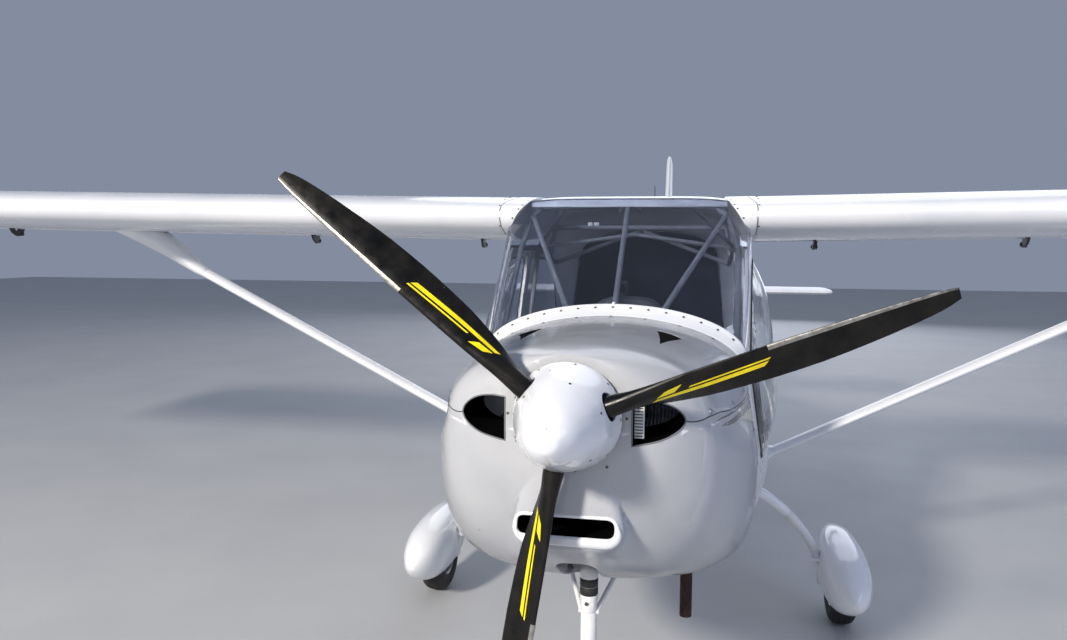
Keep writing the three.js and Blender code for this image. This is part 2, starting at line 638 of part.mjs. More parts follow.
// Columns: radius, chord, thickness, pitch in degrees, share of the chord ahead of the pitch axis
const BLADE = [
  [62, 50, 50, 62, 0.5],
  [118, 50, 48, 58, 0.5],
  [180, 64, 32, 48, 0.4],
  [260, 79, 20, 40, 0.34],
  [340, 86, 14.5, 34, 0.31],
  [450, 87, 11, 29, 0.3],
  [560, 82, 9, 25, 0.3],
  [660, 71, 7.5, 22, 0.32],
  [760, 56, 6, 19.5, 0.36],
  [830, 40, 4.6, 18, 0.42],
  [860, 25, 3.4, 17.5, 0.5],
];
const BLADE_SECTION = [
  // share of the chord from the leading edge, height as a share of the thickness
  [0, 0], [0.08, 0.42], [0.28, 0.62], [0.55, 0.52], [0.82, 0.24], [1, 0.03],
  [0.96, -0.05], [0.7, -0.26], [0.4, -0.38], [0.12, -0.28],
];
const ROUND_SECTION = BLADE_SECTION.map((_, i) => {
  const a = Math.PI - (2 * Math.PI * i) / BLADE_SECTION.length;
  return [0.5 + 0.5 * Math.cos(a), 0.5 * Math.sin(a)];
});
function bladeAt(angle) {
  const a = THREE.MathUtils.degToRad(angle);
  const out = new THREE.Vector3(Math.cos(a), 0, Math.sin(a));
  const ahead = new THREE.Vector3(-Math.sin(a), 0, Math.cos(a));
  return loft(BLADE.map(([r, chord, thick, pitch, front]) => {
    const b = THREE.MathUtils.degToRad(pitch);
    const nose = ahead.clone().multiplyScalar(Math.cos(b)).add(new THREE.Vector3(0, -Math.sin(b), 0));
    const face = ahead.clone().multiplyScalar(-Math.sin(b)).add(new THREE.Vector3(0, -Math.cos(b), 0));
    const round = THREE.MathUtils.clamp((220 - r) / 100, 0, 1);
    return BLADE_SECTION.map(([u, v], i) => {
      const [ru, rv] = ROUND_SECTION[i];
      const along = front - (u * (1 - round) + ru * round);
      const high = v * (1 - round) + rv * round;
      return out.clone().multiplyScalar(r)
        .addScaledVector(nose, along * chord)
        .addScaledVector(face, high * thick)
        .add(new THREE.Vector3(0, 0, HUB_Z))
        .toArray();
    });
  }));
}
const sleeve = (angle, r, from, to) => {
  const a = THREE.MathUtils.degToRad(angle);
  return turned([[0, from], [r, from], [r, to], [0, to]], [0, 0, HUB_Z], [Math.cos(a), 0, Math.sin(a)], 16);
};
add("spinner", cut(
  turned(spinnerProfile, [0, 0, HUB_Z], [0, 1, 0], 28),
  BLADE_ANGLES.map((a) => sleeve(a, 31, 80, 140)),
), paint);
add("prop_hub", cut(
  turned([
    [0, -34], [56, -34], [58, 34], [60, SPINNER_BACK - 12], [119, SPINNER_BACK - 12],
    [119, SPINNER_BACK - 4], [0, SPINNER_BACK - 4],
  ], [0, 0, HUB_Z], [0, 1, 0], 24),
  BLADE_ANGLES.map((a) => sleeve(a, 31, 55, 140)),
), steel);
BLADE_ANGLES.forEach((a, i) => add("blade_" + (i + 1), bladeAt(a), carbon));

// Tail cone, with a shelf for the stabiliser
const shelf = box(-300, 300, STAB_LE - 25, 5600, 1273, 1400);
const tailShell = tubeOfBody(CABIN_END + GAP, 5500, TAIL_WALL);
const tailPlug = loft([bodyRing(bodyRow(5420), 1), bodyRing(bodyRow(5499), 1)]);
add("tail_cone", cut(joined(tailShell, tailPlug), shelf), paint);

// Stabiliser and elevator share one section along the span, thinning towards the tips
const tailRing = (x, s0, s1, thick, z, nose, tail) => {
  const c = s1 - s0;
  return [
    [0, 0], [0.1 * nose, 0.4], [0.35, 0.5], [0.7, tail], [1, tail], [1, -tail], [0.7, -tail], [0.35, -0.5],
    [0.1 * nose, -0.4],
  ].map(([u, v]) => [x, s0 + u * c, z + v * thick]);
};
add("stabilizer", loft([
  [-STAB_HALF, 0.45, 60], [-STAB_HALF + 60, 0.8, 12], [0, 1, 0], [STAB_HALF - 60, 0.8, 12], [STAB_HALF, 0.45, 60],
].map(([x, t, back]) => tailRing(x, STAB_LE + back, STAB_TE, 56 * t, STAB_Z, 1, 0.42))), paint);
const elevatorRing = (x, te, t) => [
  [ELEVATOR_HINGE - 18, 0], [ELEVATOR_HINGE - 12, 17 * t], [ELEVATOR_HINGE + 12, 21 * t], [te, 2.5],
  [te, -2.5], [ELEVATOR_HINGE + 12, -21 * t], [ELEVATOR_HINGE - 12, -17 * t],
].map(([s, z]) => [x, s, STAB_Z + z]);
const elevatorHalf = loft([
  elevatorRing(36, ELEVATOR_HINGE + 40, 0.9), elevatorRing(62, ELEVATOR_HINGE + 44, 0.95),
  elevatorRing(262, ELEVATOR_TE, 1), elevatorRing(STAB_HALF - 30, ELEVATOR_TE, 0.8),
  elevatorRing(STAB_HALF, ELEVATOR_TE - 30, 0.5),
]);
const torqueTube = turned([[0, -60], [15, -60], [15, 60], [0, 60]], [0, ELEVATOR_HINGE, STAB_Z], [1, 0, 0], 16);
add("elevator", joined(elevatorHalf, mirrored(elevatorHalf), torqueTube), paint);

// Fin and rudder
const finRing = (z, s0, s1, thick) => [
  [0, 0], [0.06, 0.3], [0.3, 0.5], [1, 0.42], [1, -0.42], [0.3, -0.5], [0.06, -0.3],
].map(([u, v]) => [v * thick, s0 + u * (s1 - s0), z]);
const FIN_BACK = RUDDER_HINGE - 28;
const finBlade = loft([
  finRing(1333, 4640, FIN_BACK, 58), finRing(1420, 4760, FIN_BACK, 54), finRing(1560, 4880, FIN_BACK, 52),
  finRing(2300, 5300, FIN_BACK, 42), finRing(2362, 5352, FIN_BACK, 30), finRing(FIN_TOP, 5400, FIN_BACK - 20, 14),
]);
const finFoot = cut(
  prism([[4560, 1290], [4900, 1290], [4900, 1340], [4700, 1380]], "x", -24, 24), body(4300, 5400, -GAP),
);
const elevatorRoom = turned([[0, -80], [42, -80], [42, 80], [0, 80]], [0, ELEVATOR_HINGE, STAB_Z], [1, 0, 0], 20);
const finPost = box(-20, 20, 5478, FIN_BACK, 1262 + GAP, 1340);
add("fin", cut(joined(finBlade, finFoot, finPost), body(4300, 5499, -GAP), elevatorRoom,
  box(-400, 400, STAB_LE - 5, STAB_TE + 5, 1200, STAB_Z + 29)), paint);
const rudderRing = (z, te, t) => [
  [RUDDER_HINGE - 18, 0], [RUDDER_HINGE - 10, 0.42], [RUDDER_HINGE + 14, 0.5], [te, 0.07], [te, -0.07],
  [RUDDER_HINGE + 14, -0.5], [RUDDER_HINGE - 10, -0.42],
].map(([s, v]) => [v * t, s, z]);
add("rudder", loft([
  rudderRing(1062, RUDDER_TE - 150, 34), rudderRing(1110, RUDDER_TE - 40, 42), rudderRing(1250, RUDDER_TE, 44),
  rudderRing(2300, RUDDER_TE - 165, 38), rudderRing(FIN_TOP - 6, RUDDER_TE - 200, 22),
]), paint);
add("ventral_fin", cut(
  prism([[4860, 1010], [5480, 1075], [5480, 960], [5380, 905], [5180, 900]], "x", -9, 9), body(4300, 5499, -GAP),
), paint);

// Aerial on the rear body
add("aerial", cut(bar([[0, 3380, 1560], [0, 3392, 2005]], [9, 4], 8), body(2950, 4000, -GAP)), panelBlack);

// Doors: a frame with a lower panel, and one pane
const DOOR = [
  [DOOR_FRONT, DOOR_BOTTOM], [DOOR_REAR, DOOR_BOTTOM], [DOOR_REAR, DOOR_TOP], [1524, DOOR_TOP],
  [DOOR_FRONT, shoulderZ(DOOR_FRONT) - 6],
];
const PANE = [
  [DOOR_FRONT + 42, DOOR_BOTTOM + 190], [DOOR_REAR - 42, DOOR_BOTTOM + 170], [DOOR_REAR - 42, DOOR_TOP - 38],
  [1538, DOOR_TOP - 38], [DOOR_FRONT + 42, shoulderZ(DOOR_FRONT) - 38],
];
const doorShell = panel(DOOR_FRONT - 5, DOOR_REAR + 5, CABIN_WALL, DOOR, "x", 200, 700);
pair("door_frame", cut(doorShell, prism(PANE, "x", 200, 700)), shadedPaint);

// The body's half width at a station and height
function bodyHalf(s, z) {
  const half = bodyRing(bodyRow(s)).filter(([x]) => x >= 0).sort((a, b) => a[2] - b[2]);
  const i = Math.max(1, half.findIndex((p) => p[2] >= z));
  const [a, b] = [half[i - 1], half[i]];
  return a[0] + ((b[0] - a[0]) * (z - a[2])) / (b[2] - a[2]);
}

// The pane is blown, and stands out further the further a point is from its edge.
const BLOWN = { most: 52, edge: 4, reach: 250, power: 2.6 };
const paneEdge = inset(PANE, 1);
function toPaneEdge(s, z) {
  return Math.min(...paneEdge.map(([a, b], i) => {
    const [c, d] = paneEdge[(i + 1) % paneEdge.length];
    const t = Math.max(0, Math.min(1, ((s - a) * (c - a) + (z - b) * (d - b)) / Math.hypot(c - a, d - b) ** 2));
    return Math.hypot(a + (c - a) * t - s, b + (d - b) * t - z);
  }));
}
function blown(s, z) {
  const t = Math.max(0, Math.min(1, (toPaneEdge(s, z) - BLOWN.edge) / BLOWN.reach));
  return BLOWN.most * (1 - (1 - t) ** BLOWN.power);
}
const PANE_STEP = 90;
const paneMiddle = [0, 1].map((k) => paneEdge.reduce((sum, p) => sum + p[k], 0) / paneEdge.length);
const paneLine = paneEdge.flatMap(([s, z], i) => {
  const [u, v] = paneEdge[(i + 1) % paneEdge.length];
  const count = Math.max(1, Math.round(Math.hypot(u - s, v - z) / PANE_STEP));
  return Array.from({ length: count }, (_, k) => [s + ((u - s) * k) / count, z + ((v - z) * k) / count]);
});
// A ring of the pane at a share of the way from its middle to its edge, at a depth under its outer face
const paneRing = (share, depth) => paneLine.map(([s, z]) => {
  const at = paneMiddle.map((m, k) => m + ([s, z][k] - m) * share);
  return [bodyHalf(...at) + blown(...at) - depth, ...at];
});
const PANE_SHARES = [0.22, 0.45, 0.66, 0.84, 1];
pair("door_pane", loft([
  ...PANE_SHARES.map((share) => paneRing(share, 0)),
  ...[...PANE_SHARES].reverse().map((share) => paneRing(share, GLASS)),
]), glass);

// Welded tube frame inside the cabin
const frameBars = [];
const member = (a, b, r = 11) => frameBars.push(bar([a, b], r, 6));
for (const k of [-1, 1]) {
  member([k * 418, 1054, 1190], [k * 430, 1575, 1640]);
  member([k * 430, 1575, 1640], [k * 430, 1945, 1640]);
  member([k * 430, 1945, 1640], [k * 512, 1945, 900]);
  member([k * 512, 1945, 900], [k * 512, 1945, 760]);
  member([k * 430, 1945, 1640], [k * 415, 2330, 1566]);
  member([k * 430, 1575, 1640], [k * 378, 1556, 1770]);
  member([k * 378, 1556, 1770], [k * 345, 1590, 1800]);
  member([k * 345, 1590, 1800], [0, 1590, 1815]);
  member([k * 164, 1104, 1428], [k * 378, 1556, 1770]);
  member([k * 164, 1104, 1428], [0, 1094, 1434]);
  member([k * 250, 1590, 1803], [k * 430, 1945, 1640]);
  member([k * 430, 1945, 1640], [0, 1945, 1700]);
  member([k * 415, 2330, 1566], [0, 2330, 1722]);
  member([k * 421, 2180, 1595], [k * 392, 2180, 1734]);
  member([k * 392, 2180, 1734], [0, 2180, 1734]);
}
member([0, 1945, 1700], [0, 2330, 1722]);
member([0, 1094, 1434], [0, 1590, 1815]);
add("cabin_frame", joined(frameBars), tubeGrey);

// Instrument panel with its shelf up to the deck
add("instrument_panel", prism([
  [1075, 1400], [1085, 1340], [1270, 1290], [1285, 1000], [1300, 1000], [1305, 1300], [1300, 1330], [1120, 1398],
], "x", -262, 262), panelBlack);

// Seats and the control column between them
const seatSide = [
  [1500, 720], [1960, 640], [2010, 640], [2240, 1260], [2210, 1285], [2150, 1275], [1975, 790], [1520, 850],
];
pair("seat", prism(seatSide, "x", 30, 450), cloth);
add("control_column", bar([[0, 1440, 595], [0, 1440, 760], [0, 1400, 960]], 13, 8), panelBlack);

export default root;
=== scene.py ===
import math

import bmesh
import bpy
import numpy as np
from mathutils import Matrix, Vector


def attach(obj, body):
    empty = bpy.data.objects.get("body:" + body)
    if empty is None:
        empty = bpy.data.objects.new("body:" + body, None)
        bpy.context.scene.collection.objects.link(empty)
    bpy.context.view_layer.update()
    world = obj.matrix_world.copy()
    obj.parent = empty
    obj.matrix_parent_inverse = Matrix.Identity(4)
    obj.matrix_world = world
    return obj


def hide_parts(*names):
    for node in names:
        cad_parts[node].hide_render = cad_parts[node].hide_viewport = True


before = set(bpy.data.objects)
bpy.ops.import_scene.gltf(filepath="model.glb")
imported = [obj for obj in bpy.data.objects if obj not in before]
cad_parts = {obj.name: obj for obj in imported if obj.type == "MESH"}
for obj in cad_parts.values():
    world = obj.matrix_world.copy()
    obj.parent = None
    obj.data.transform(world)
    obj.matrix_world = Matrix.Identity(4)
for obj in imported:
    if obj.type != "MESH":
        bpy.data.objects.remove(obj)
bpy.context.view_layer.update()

# A two-seat high-wing light aircraft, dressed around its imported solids.
# Sizes are in millimetres and become metres where a mesh is made.
# Stations are measured aft of the propeller's plane, as in the solids, and X is to the aircraft's left.
MID_STATION = 2900
HUB_Z = 1265
HUB = (0, 0, HUB_Z)
BLADE_ANGLES = (20.4, 140.4, 260.4)
FIREWALL = 1003
DECK_END = 1062
SCREEN_TOP = 1540
ROOF_SPLIT = 2150
CABIN_END = 2900
COWL_SPLIT_Z = 1228
WING_LE = 1451
WING_ROOT_X = 489
WING_ROOT_Z = 1771
DIHEDRAL = math.tan(math.radians(1))
STAB_Z = 1302
ELEVATOR_HINGE = 5425
RUDDER_HINGE = 5552
WHEEL_R = 170
MAIN_X = 921
MAIN_S = 2030
LAST_STATION = 6100
NOSE_AXIS_S = 500
NOSE_AXIS = (0, NOSE_AXIS_S, 0)
NOSE_WHEEL_S = 535
NOSE_R = 155.2


# Materials


def linear(hex_code):
    """An sRGB hex colour as the linear colour that shaders take."""
    parts = [int(hex_code[i:i + 2], 16) / 255 for i in (0, 2, 4)]
    return [*(p / 12.92 if p <= 0.04045 else ((p + 0.055) / 1.055) ** 2.4 for p in parts), 1]


def add(tree, kind, inputs=(), **settings):
    """Adds a node with its settings, and links its inputs to sockets or gives them values."""
    made = tree.nodes.new(kind)
    for name, value in settings.items():
        setattr(made, name, value)
    for name, value in dict(inputs).items():
        if isinstance(value, bpy.types.NodeSocket):
            tree.links.new(value, made.inputs[name])
        else:
            made.inputs[name].default_value = value
    return made


def noise(tree, place, size_mm, detail=3.0):
    """Soft patches about size_mm across."""
    return add(tree, "ShaderNodeTexNoise", {
        "Vector": place, "Scale": 1000 / size_mm, "Detail": detail, "Roughness": 0.55}).outputs["Fac"]


def spread(tree, value, low, high, out_low, out_high):
    """Maps low..high to out_low..out_high and holds it at both ends."""
    return add(tree, "ShaderNodeMapRange", {
        "Value": value, "From Min": low, "From Max": high, "To Min": out_low, "To Max": out_high}).outputs[0]


def blend_colour(tree, share, first, second):
    """first where share is 0 and second where it is 1."""
    return add(tree, "ShaderNodeMix", {0: share, 6: first, 7: second}, data_type="RGBA").outputs[2]


def finish(name, base, second, patch_mm, rough, metallic=0.0, coat=0.0, grain_mm=0.0, grain_depth=0.0,
           ior=1.5, weave_mm=0.0, specks=None, sheen=0.0):
    """A procedural material: two close colours in patches, uneven roughness, and a fine bump.
    rough is its lowest and highest. specks is (size in mm, how many of ten cells hold one, colour, and the
    station at which they end)."""
    material = bpy.data.materials.new(name)
    material.use_nodes = True
    tree = material.node_tree
    shader = tree.nodes["Principled BSDF"]
    place = add(tree, "ShaderNodeTexCoord").outputs["Object"]
    patches = noise(tree, place, patch_mm)
    colour = blend_colour(tree, spread(tree, patches, 0.35, 0.68, 0, 1), linear(base), linear(second))
    if specks:
        size, share, speck_hex, last_station = specks
        cells = add(tree, "ShaderNodeTexVoronoi", {
            "Vector": place, "Scale": 1000 / (size * 7), "Randomness": 1.0})
        near = spread(tree, cells.outputs["Distance"], 0.03, 0.10, 1, 0)
        pick = add(tree, "ShaderNodeSeparateColor", {"Color": cells.outputs["Color"]}).outputs["Red"]
        chosen = add(tree, "ShaderNodeMath", {0: pick, 1: share / 10}, operation="LESS_THAN").outputs[0]
        dots = add(tree, "ShaderNodeMath", {0: near, 1: chosen}, operation="MULTIPLY").outputs[0]
        aft = add(tree, "ShaderNodeSeparateXYZ", {"Vector": place}).outputs["Y"]
        ahead = add(tree, "ShaderNodeMath", {0: aft, 1: (last_station - MID_STATION) / 1000},
                    operation="LESS_THAN").outputs[0]
        dots = add(tree, "ShaderNodeMath", {0: dots, 1: ahead}, operation="MULTIPLY").outputs[0]
        colour = blend_colour(tree, dots, colour, linear(speck_hex))
    tree.links.new(colour, shader.inputs["Base Color"])
    uneven = noise(tree, place, patch_mm * 0.4, 5)
    tree.links.new(spread(tree, uneven, 0.3, 0.7, rough[0], rough[1]), shader.inputs["Roughness"])
    if metallic < 0.5:
        shader.inputs["IOR"].default_value = ior
    for key, value in (("Metallic", metallic), ("Coat Weight", coat), ("Coat Roughness", 0.06),
                       ("Sheen Weight", sheen)):
        shader.inputs[key].default_value = value
    if weave_mm:
        weft, warp = (add(tree, "ShaderNodeTexWave", {"Vector": place, "Scale": 1000 / weave_mm / 6.28},
                          bands_direction=way).outputs["Fac"] for way in "XY")
        height = add(tree, "ShaderNodeMath", {0: weft, 1: warp}, operation="MAXIMUM").outputs[0]
    elif grain_mm:
        height = noise(tree, place, grain_mm, 2)
    else:
        height = None
    if height is not None:
        bump = add(tree, "ShaderNodeBump", {
            "Height": height, "Distance": grain_depth / 1000, "Strength": 0.8})
        tree.links.new(bump.outputs["Normal"], shader.inputs["Normal"])
    return material


# Polished polyester gelcoat over glass cloth: deep gloss, a faint orange peel, and dead flies on the nose
GELCOAT = finish("gelcoat_white", "EDEFF3", "E3E6EC", 240, (0.10, 0.19), coat=0.45, grain_mm=9,
                 grain_depth=0.05, specks=(4.5, 0.45, "5C5044", 620))
# Sprayed polyurethane enamel on light alloy sheet: a little duller, with slow waves between the rivets
ALLOY_PAINT = finish("enamel_white_on_alloy", "E8EAEF", "DCE0E7", 380, (0.16, 0.28), coat=0.25, grain_mm=160,
                     grain_depth=0.9)
# Polyester cloth shrunk over ribs and painted: its weave, 0.4 mm in truth, is drawn at 3 mm so that it shows
DOPED_CLOTH = finish("painted_polyester_cloth", "E9EBEF", "DFE2E8", 300, (0.26, 0.38), coat=0.1, weave_mm=3,
                     grain_depth=0.08)
# Brushed-on enamel on steel legs and door frames: satin, slightly yellowed
LEG_PAINT = finish("enamel_pale_on_steel", "E4E5E6", "D2D4D6", 90, (0.22, 0.36), coat=0.15, grain_mm=14,
                   grain_depth=0.08, specks=(1.4, 0.5, "6B655C", LAST_STATION))
# Powder coat on welded steel tube: mid grey with a fine texture
TUBE_GREY = finish("powder_coat_grey", "76797F", "686B71", 60, (0.38, 0.5), grain_mm=3, grain_depth=0.06)
# Anodised alloy strip, pale grey
STRIP_GREY = finish("anodised_strip_grey", "A4A8B0", "989CA5", 80, (0.35, 0.5), metallic=0.2, grain_mm=20,
                     grain_depth=0.04)
# Powder coat, black, on cut steel plate
PLATE_BLACK = finish("powder_coat_black", "1D1E21", "292A2D", 40, (0.35, 0.5), grain_mm=3, grain_depth=0.06)
# Moulded carbon cloth under clear gloss lacquer, dulled in patches by dust and hair scratches
CARBON = finish("carbon_under_lacquer", "060607", "1A1815", 60, (0.2, 0.42), coat=0.08, weave_mm=5,
                grain_depth=0.012, ior=1.3, specks=(2.5, 0.6, "57524A", LAST_STATION))
# Electroformed nickel guard on a blade's leading edge, sanded dull by grit
NICKEL = finish("nickel_guard", "B9B7B2", "8F8C86", 26, (0.26, 0.5), metallic=1.0, grain_mm=5,
                grain_depth=0.12, specks=(1.6, 1.6, "55524C", LAST_STATION))
# Cut vinyl tape, glossy yellow, a little worn
YELLOW_TAPE = finish("vinyl_yellow", "F2DF10", "DCC508", 30, (0.3, 0.42), grain_mm=6, grain_depth=0.03)
# Cut vinyl tape in two soft greys on the cowl's flank
GREY_TAPE = finish("vinyl_grey", "5F5D5A", "52504D", 50, (0.2, 0.3), coat=0.3, grain_mm=9, grain_depth=0.03)
SAND_TAPE = finish("vinyl_sand", "BDB8A8", "A9A494", 50, (0.2, 0.3), coat=0.3, grain_mm=9, grain_depth=0.03)
# Chloroprene and tyre rubber: matt, greyed by dust in its hollows
TYRE_RUBBER = finish("tyre_rubber", "222223", "35332F", 45, (0.72, 0.9), grain_mm=3, grain_depth=0.25)
BLOCK_RUBBER = finish("moulded_rubber", "161617", "262625", 30, (0.5, 0.68), grain_mm=2.5, grain_depth=0.1)
# Spun and polished light alloy
ALLOY = finish("bare_light_alloy", "B4B7BB", "9A9DA2", 50, (0.28, 0.42), metallic=1.0, grain_mm=4,
               grain_depth=0.05)
# Zinc-plated steel screw heads, gone dark
SCREW = finish("zinc_plated_steel", "6E6B68", "4B4844", 12, (0.35, 0.55), metallic=0.9, grain_mm=2,
               grain_depth=0.05)
# Soft alloy rivets under paint, a little greyer than the skin and darker in patches
RIVET = finish("painted_rivet", "DADDE3", "C3C7CF", 20, (0.25, 0.35), grain_mm=3, grain_depth=0.03)
# Mild steel pipe browned by exhaust heat, with rust in patches
HOT_STEEL = finish("heat_browned_steel", "2A1D19", "43302A", 34, (0.5, 0.75), metallic=0.55, grain_mm=3,
                   grain_depth=0.2, specks=(2.2, 2.5, "7A4A2C", LAST_STATION))
# Sand-cast aluminium, dull grey
CASTING = finish("cast_aluminium", "85888B", "6A6D70", 30, (0.5, 0.65), metallic=0.7, grain_mm=2.5,
                 grain_depth=0.2)
# Stainless sheet of the firewall, rolled and a little wavy
STAINLESS = finish("stainless_sheet", "A5A8AB", "909396", 160, (0.25, 0.4), metallic=1.0, grain_mm=90,
                   grain_depth=0.5)
# Woven upholstery cloth, navy: threads of 0.8 mm drawn at 2.5 mm
SEAT_CLOTH = finish("woven_navy_cloth", "2B3145", "353C52", 60, (0.8, 0.95), weave_mm=2.5, grain_depth=0.35,
                    sheen=0.35)
# Needled carpet and lining cloth, dark navy
LINING = finish("needled_lining", "161A27", "1D2232", 260, (0.92, 0.98))
# Nylon webbing, dark grey
WEBBING = finish("nylon_webbing", "34363C", "45474E", 20, (0.6, 0.75), weave_mm=3, grain_depth=0.2)
# Crackle paint on the instrument panel and its shelf
CRACKLE = finish("crackle_black", "232427", "313236", 30, (0.55, 0.7), grain_mm=2.5, grain_depth=0.25)
# Grey-black leathercloth on the glare shield
SHIELD_CLOTH = finish("glare_shield_leathercloth", "4A4C50", "3E4044", 40, (0.6, 0.72), grain_mm=4,
                      grain_depth=0.2)
# Printed dial face: matt black, and its white marks
DIAL = finish("dial_black", "0F1012", "17181A", 20, (0.4, 0.5), grain_mm=2, grain_depth=0.02)
MARK = finish("dial_white", "E8E8E2", "D8D8D0", 10, (0.45, 0.55), grain_mm=2, grain_depth=0.02)
# Black moulded rubber strip round doors and panes
SEAL = finish("seal_rubber", "1B1B1C", "2A2A29", 30, (0.55, 0.75), grain_mm=3, grain_depth=0.08)
# Near-black inside of the ducts and the deck vents' plugs: painted shade for the dark inside of the cowl
PAINTED_SHADE_BLACK = finish("duct_painted_shade_black", "040405", "080809", 60, (0.8, 0.95), grain_mm=6, grain_depth=0.2, ior=1.12)


HAZE = 0.008


def acrylic(name, tint):
    """Cast acrylic sheet: clear, faintly tinted and smooth but for a few fine scuffs.
    Light falls straight through."""
    material = bpy.data.materials.new(name)
    material.use_nodes = True
    tree = material.node_tree
    shader = tree.nodes["Principled BSDF"]
    place = add(tree, "ShaderNodeTexCoord").outputs["Object"]
    scuffs = spread(tree, noise(tree, place, 30, 6), 0.5, 0.75, HAZE, HAZE * 4)
    tree.links.new(scuffs, shader.inputs["Roughness"])
    shader.inputs["Base Color"].default_value = linear(tint)
    shader.inputs["Transmission Weight"].default_value = 1
    shader.inputs["IOR"].default_value = 1.49
    lit = add(tree, "ShaderNodeBsdfTransparent", {"Color": linear(tint)})
    shadow = add(tree, "ShaderNodeLightPath").outputs["Is Shadow Ray"]
    mixed = add(tree, "ShaderNodeMixShader", {0: shadow, 1: shader.outputs[0], 2: lit.outputs[0]})
    tree.links.new(mixed.outputs[0], tree.nodes["Material Output"].inputs["Surface"])
    return material


CLEAR = acrylic("clear_acrylic", "F6F8F9")
TINTED = acrylic("tinted_acrylic", "C4C9D4")


# Meshes


def metres(points):
    """Points of x, station and height in millimetres as x, y and z in metres."""
    p = np.asarray(points, float).reshape(-1, 3)
    return (p - np.array([0, MID_STATION, 0])) / 1000


def placed(name, data):
    """A new object of the scene that holds a mesh, a lamp or a camera."""
    made = bpy.data.objects.new(name, data)
    bpy.context.scene.collection.objects.link(made)
    return made


def raw(points, faces):
    """A plain object made of points and faces."""
    mesh = bpy.data.meshes.new("work")
    mesh.from_pydata(metres(points).tolist(), [], [list(map(int, f)) for f in faces])
    mesh.validate()
    return placed("work", mesh)


MERGE_MM = 0.01
SHORTEST_EDGE_M = 1e-6


def cleaned(obj):
    """Merges doubled points and turns every face outwards."""
    work = bmesh.new()
    work.from_mesh(obj.data)
    bmesh.ops.remove_doubles(work, verts=work.verts, dist=MERGE_MM / 1000)
    bmesh.ops.dissolve_degenerate(work, edges=work.edges, dist=SHORTEST_EDGE_M)
    bmesh.ops.recalc_face_normals(work, faces=work.faces)
    work.to_mesh(obj.data)
    work.free()
    return obj


def baked(obj):
    """Applies an object's modifiers to its mesh."""
    graph = bpy.context.evaluated_depsgraph_get()
    mesh = bpy.data.meshes.new_from_object(obj.evaluated_get(graph))
    obj.modifiers.clear()
    old = obj.data
    obj.data = mesh
    bpy.data.meshes.remove(old)
    return obj


def removed(obj):
    old = obj.data
    bpy.data.objects.remove(obj)
    bpy.data.meshes.remove(old)


def carved(target, tools, how="DIFFERENCE"):
    """Cuts tools out of a solid, or joins or meets them with it. The tools are used up."""
    for tool in tools:
        cut = target.modifiers.new("cut", "BOOLEAN")
        cut.operation = how
        cut.solver = "EXACT"
        cut.object = tool
    baked(target)
    for tool in tools:
        removed(tool)
    return target


def copied(obj):
    other = obj.copy()
    other.data = obj.data.copy()
    bpy.context.scene.collection.objects.link(other)
    return other


def twin(obj):
    """A copy of an object mirrored to the other side."""
    other = copied(obj)
    other.data.transform(Matrix.Diagonal((-1, 1, 1, 1)))
    other.data.flip_normals()
    return other


def joined(objs):
    """Several objects as one."""
    work = bmesh.new()
    for o in objs:
        work.from_mesh(o.data)
    work.to_mesh(objs[0].data)
    work.free()
    for o in objs[1:]:
        removed(o)
    return objs[0]


def thick(obj, wall_mm, offset=-1.0):
    """Gives an open skin a wall, inwards from its faces."""
    wall = obj.modifiers.new("wall", "SOLIDIFY")
    wall.thickness = wall_mm / 1000
    wall.offset = offset
    wall.use_even_offset = False
    return baked(obj)


def softened(obj, width_mm, segments=2):
    """Rounds the edges that turn more than 40 degrees."""
    edge = obj.modifiers.new("edge", "BEVEL")
    edge.width = width_mm / 1000
    edge.segments = segments
    edge.limit_method = "ANGLE"
    edge.angle_limit = math.radians(40)
    return baked(obj)


def show(obj, name, look, stands_for=(), crease=32, body="airframe"):
    """Names a finished piece, gives it its material, and makes it ride on its body."""
    obj.name = name
    obj.data.name = name
    obj.data.materials.clear()
    obj.data.materials.append(look)
    for face in obj.data.polygons:
        face.use_smooth = True
        face.material_index = 0
    obj.data.set_sharp_from_angle(angle=math.radians(crease))
    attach(obj, body)
    if stands_for:
        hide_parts(*stands_for)
    return obj


def both(left, name, look, stands_for=(), crease=32, body="airframe"):
    """Shows a left piece and its mirrored twin. Names of bodies and nodes may end in _left."""
    right = twin(left)
    show(left, name + "_left", look, stands_for, crease, body)
    others = [n.replace("_left", "_right") for n in stands_for]
    show(right, name + "_right", look, others, crease, body.replace("_left", "_right"))
    return left, right


def loft(rings, ends=True, around=True):
    """A skin through rings of points, closed around, with flat ends."""
    rings = [np.asarray(r, float) for r in rings]
    n = len(rings[0])
    faces = []
    last = n if around else n - 1
    for r in range(len(rings) - 1):
        for i in range(last):
            j = (i + 1) % n
            a, b = r * n + i, r * n + j
            faces.append((a, b, b + n, a + n))
    if ends:
        faces.append(tuple(range(n)))
        faces.append(tuple(range((len(rings) - 1) * n, len(rings) * n)))
    return cleaned(raw(np.concatenate(rings), faces))


def sheet(rows, wall_mm, offset=-1.0):
    """An open skin through rows of points, with a wall."""
    return thick(loft(rows, ends=False, around=False), wall_mm, offset)


def prism(outline, axis, low, high):
    """A flat outline pushed along one axis. Its pairs are the other two axes in order."""
    def ring(v):
        order = {"x": lambda p, q: (v, p, q), "s": lambda p, q: (p, v, q), "z": lambda p, q: (p, q, v)}[axis]
        return [order(p, q) for p, q in outline]
    return loft([ring(low), ring(high)])


def block(x0, x1, s0, s1, z0, z1):
    return prism([(x0, s0), (x1, s0), (x1, s1), (x0, s1)], "z", z0, z1)


BEYOND = 900


def across(outline):
    """A tool that cuts right through the body from one side to the other."""
    return prism(outline, "x", -BEYOND, BEYOND)


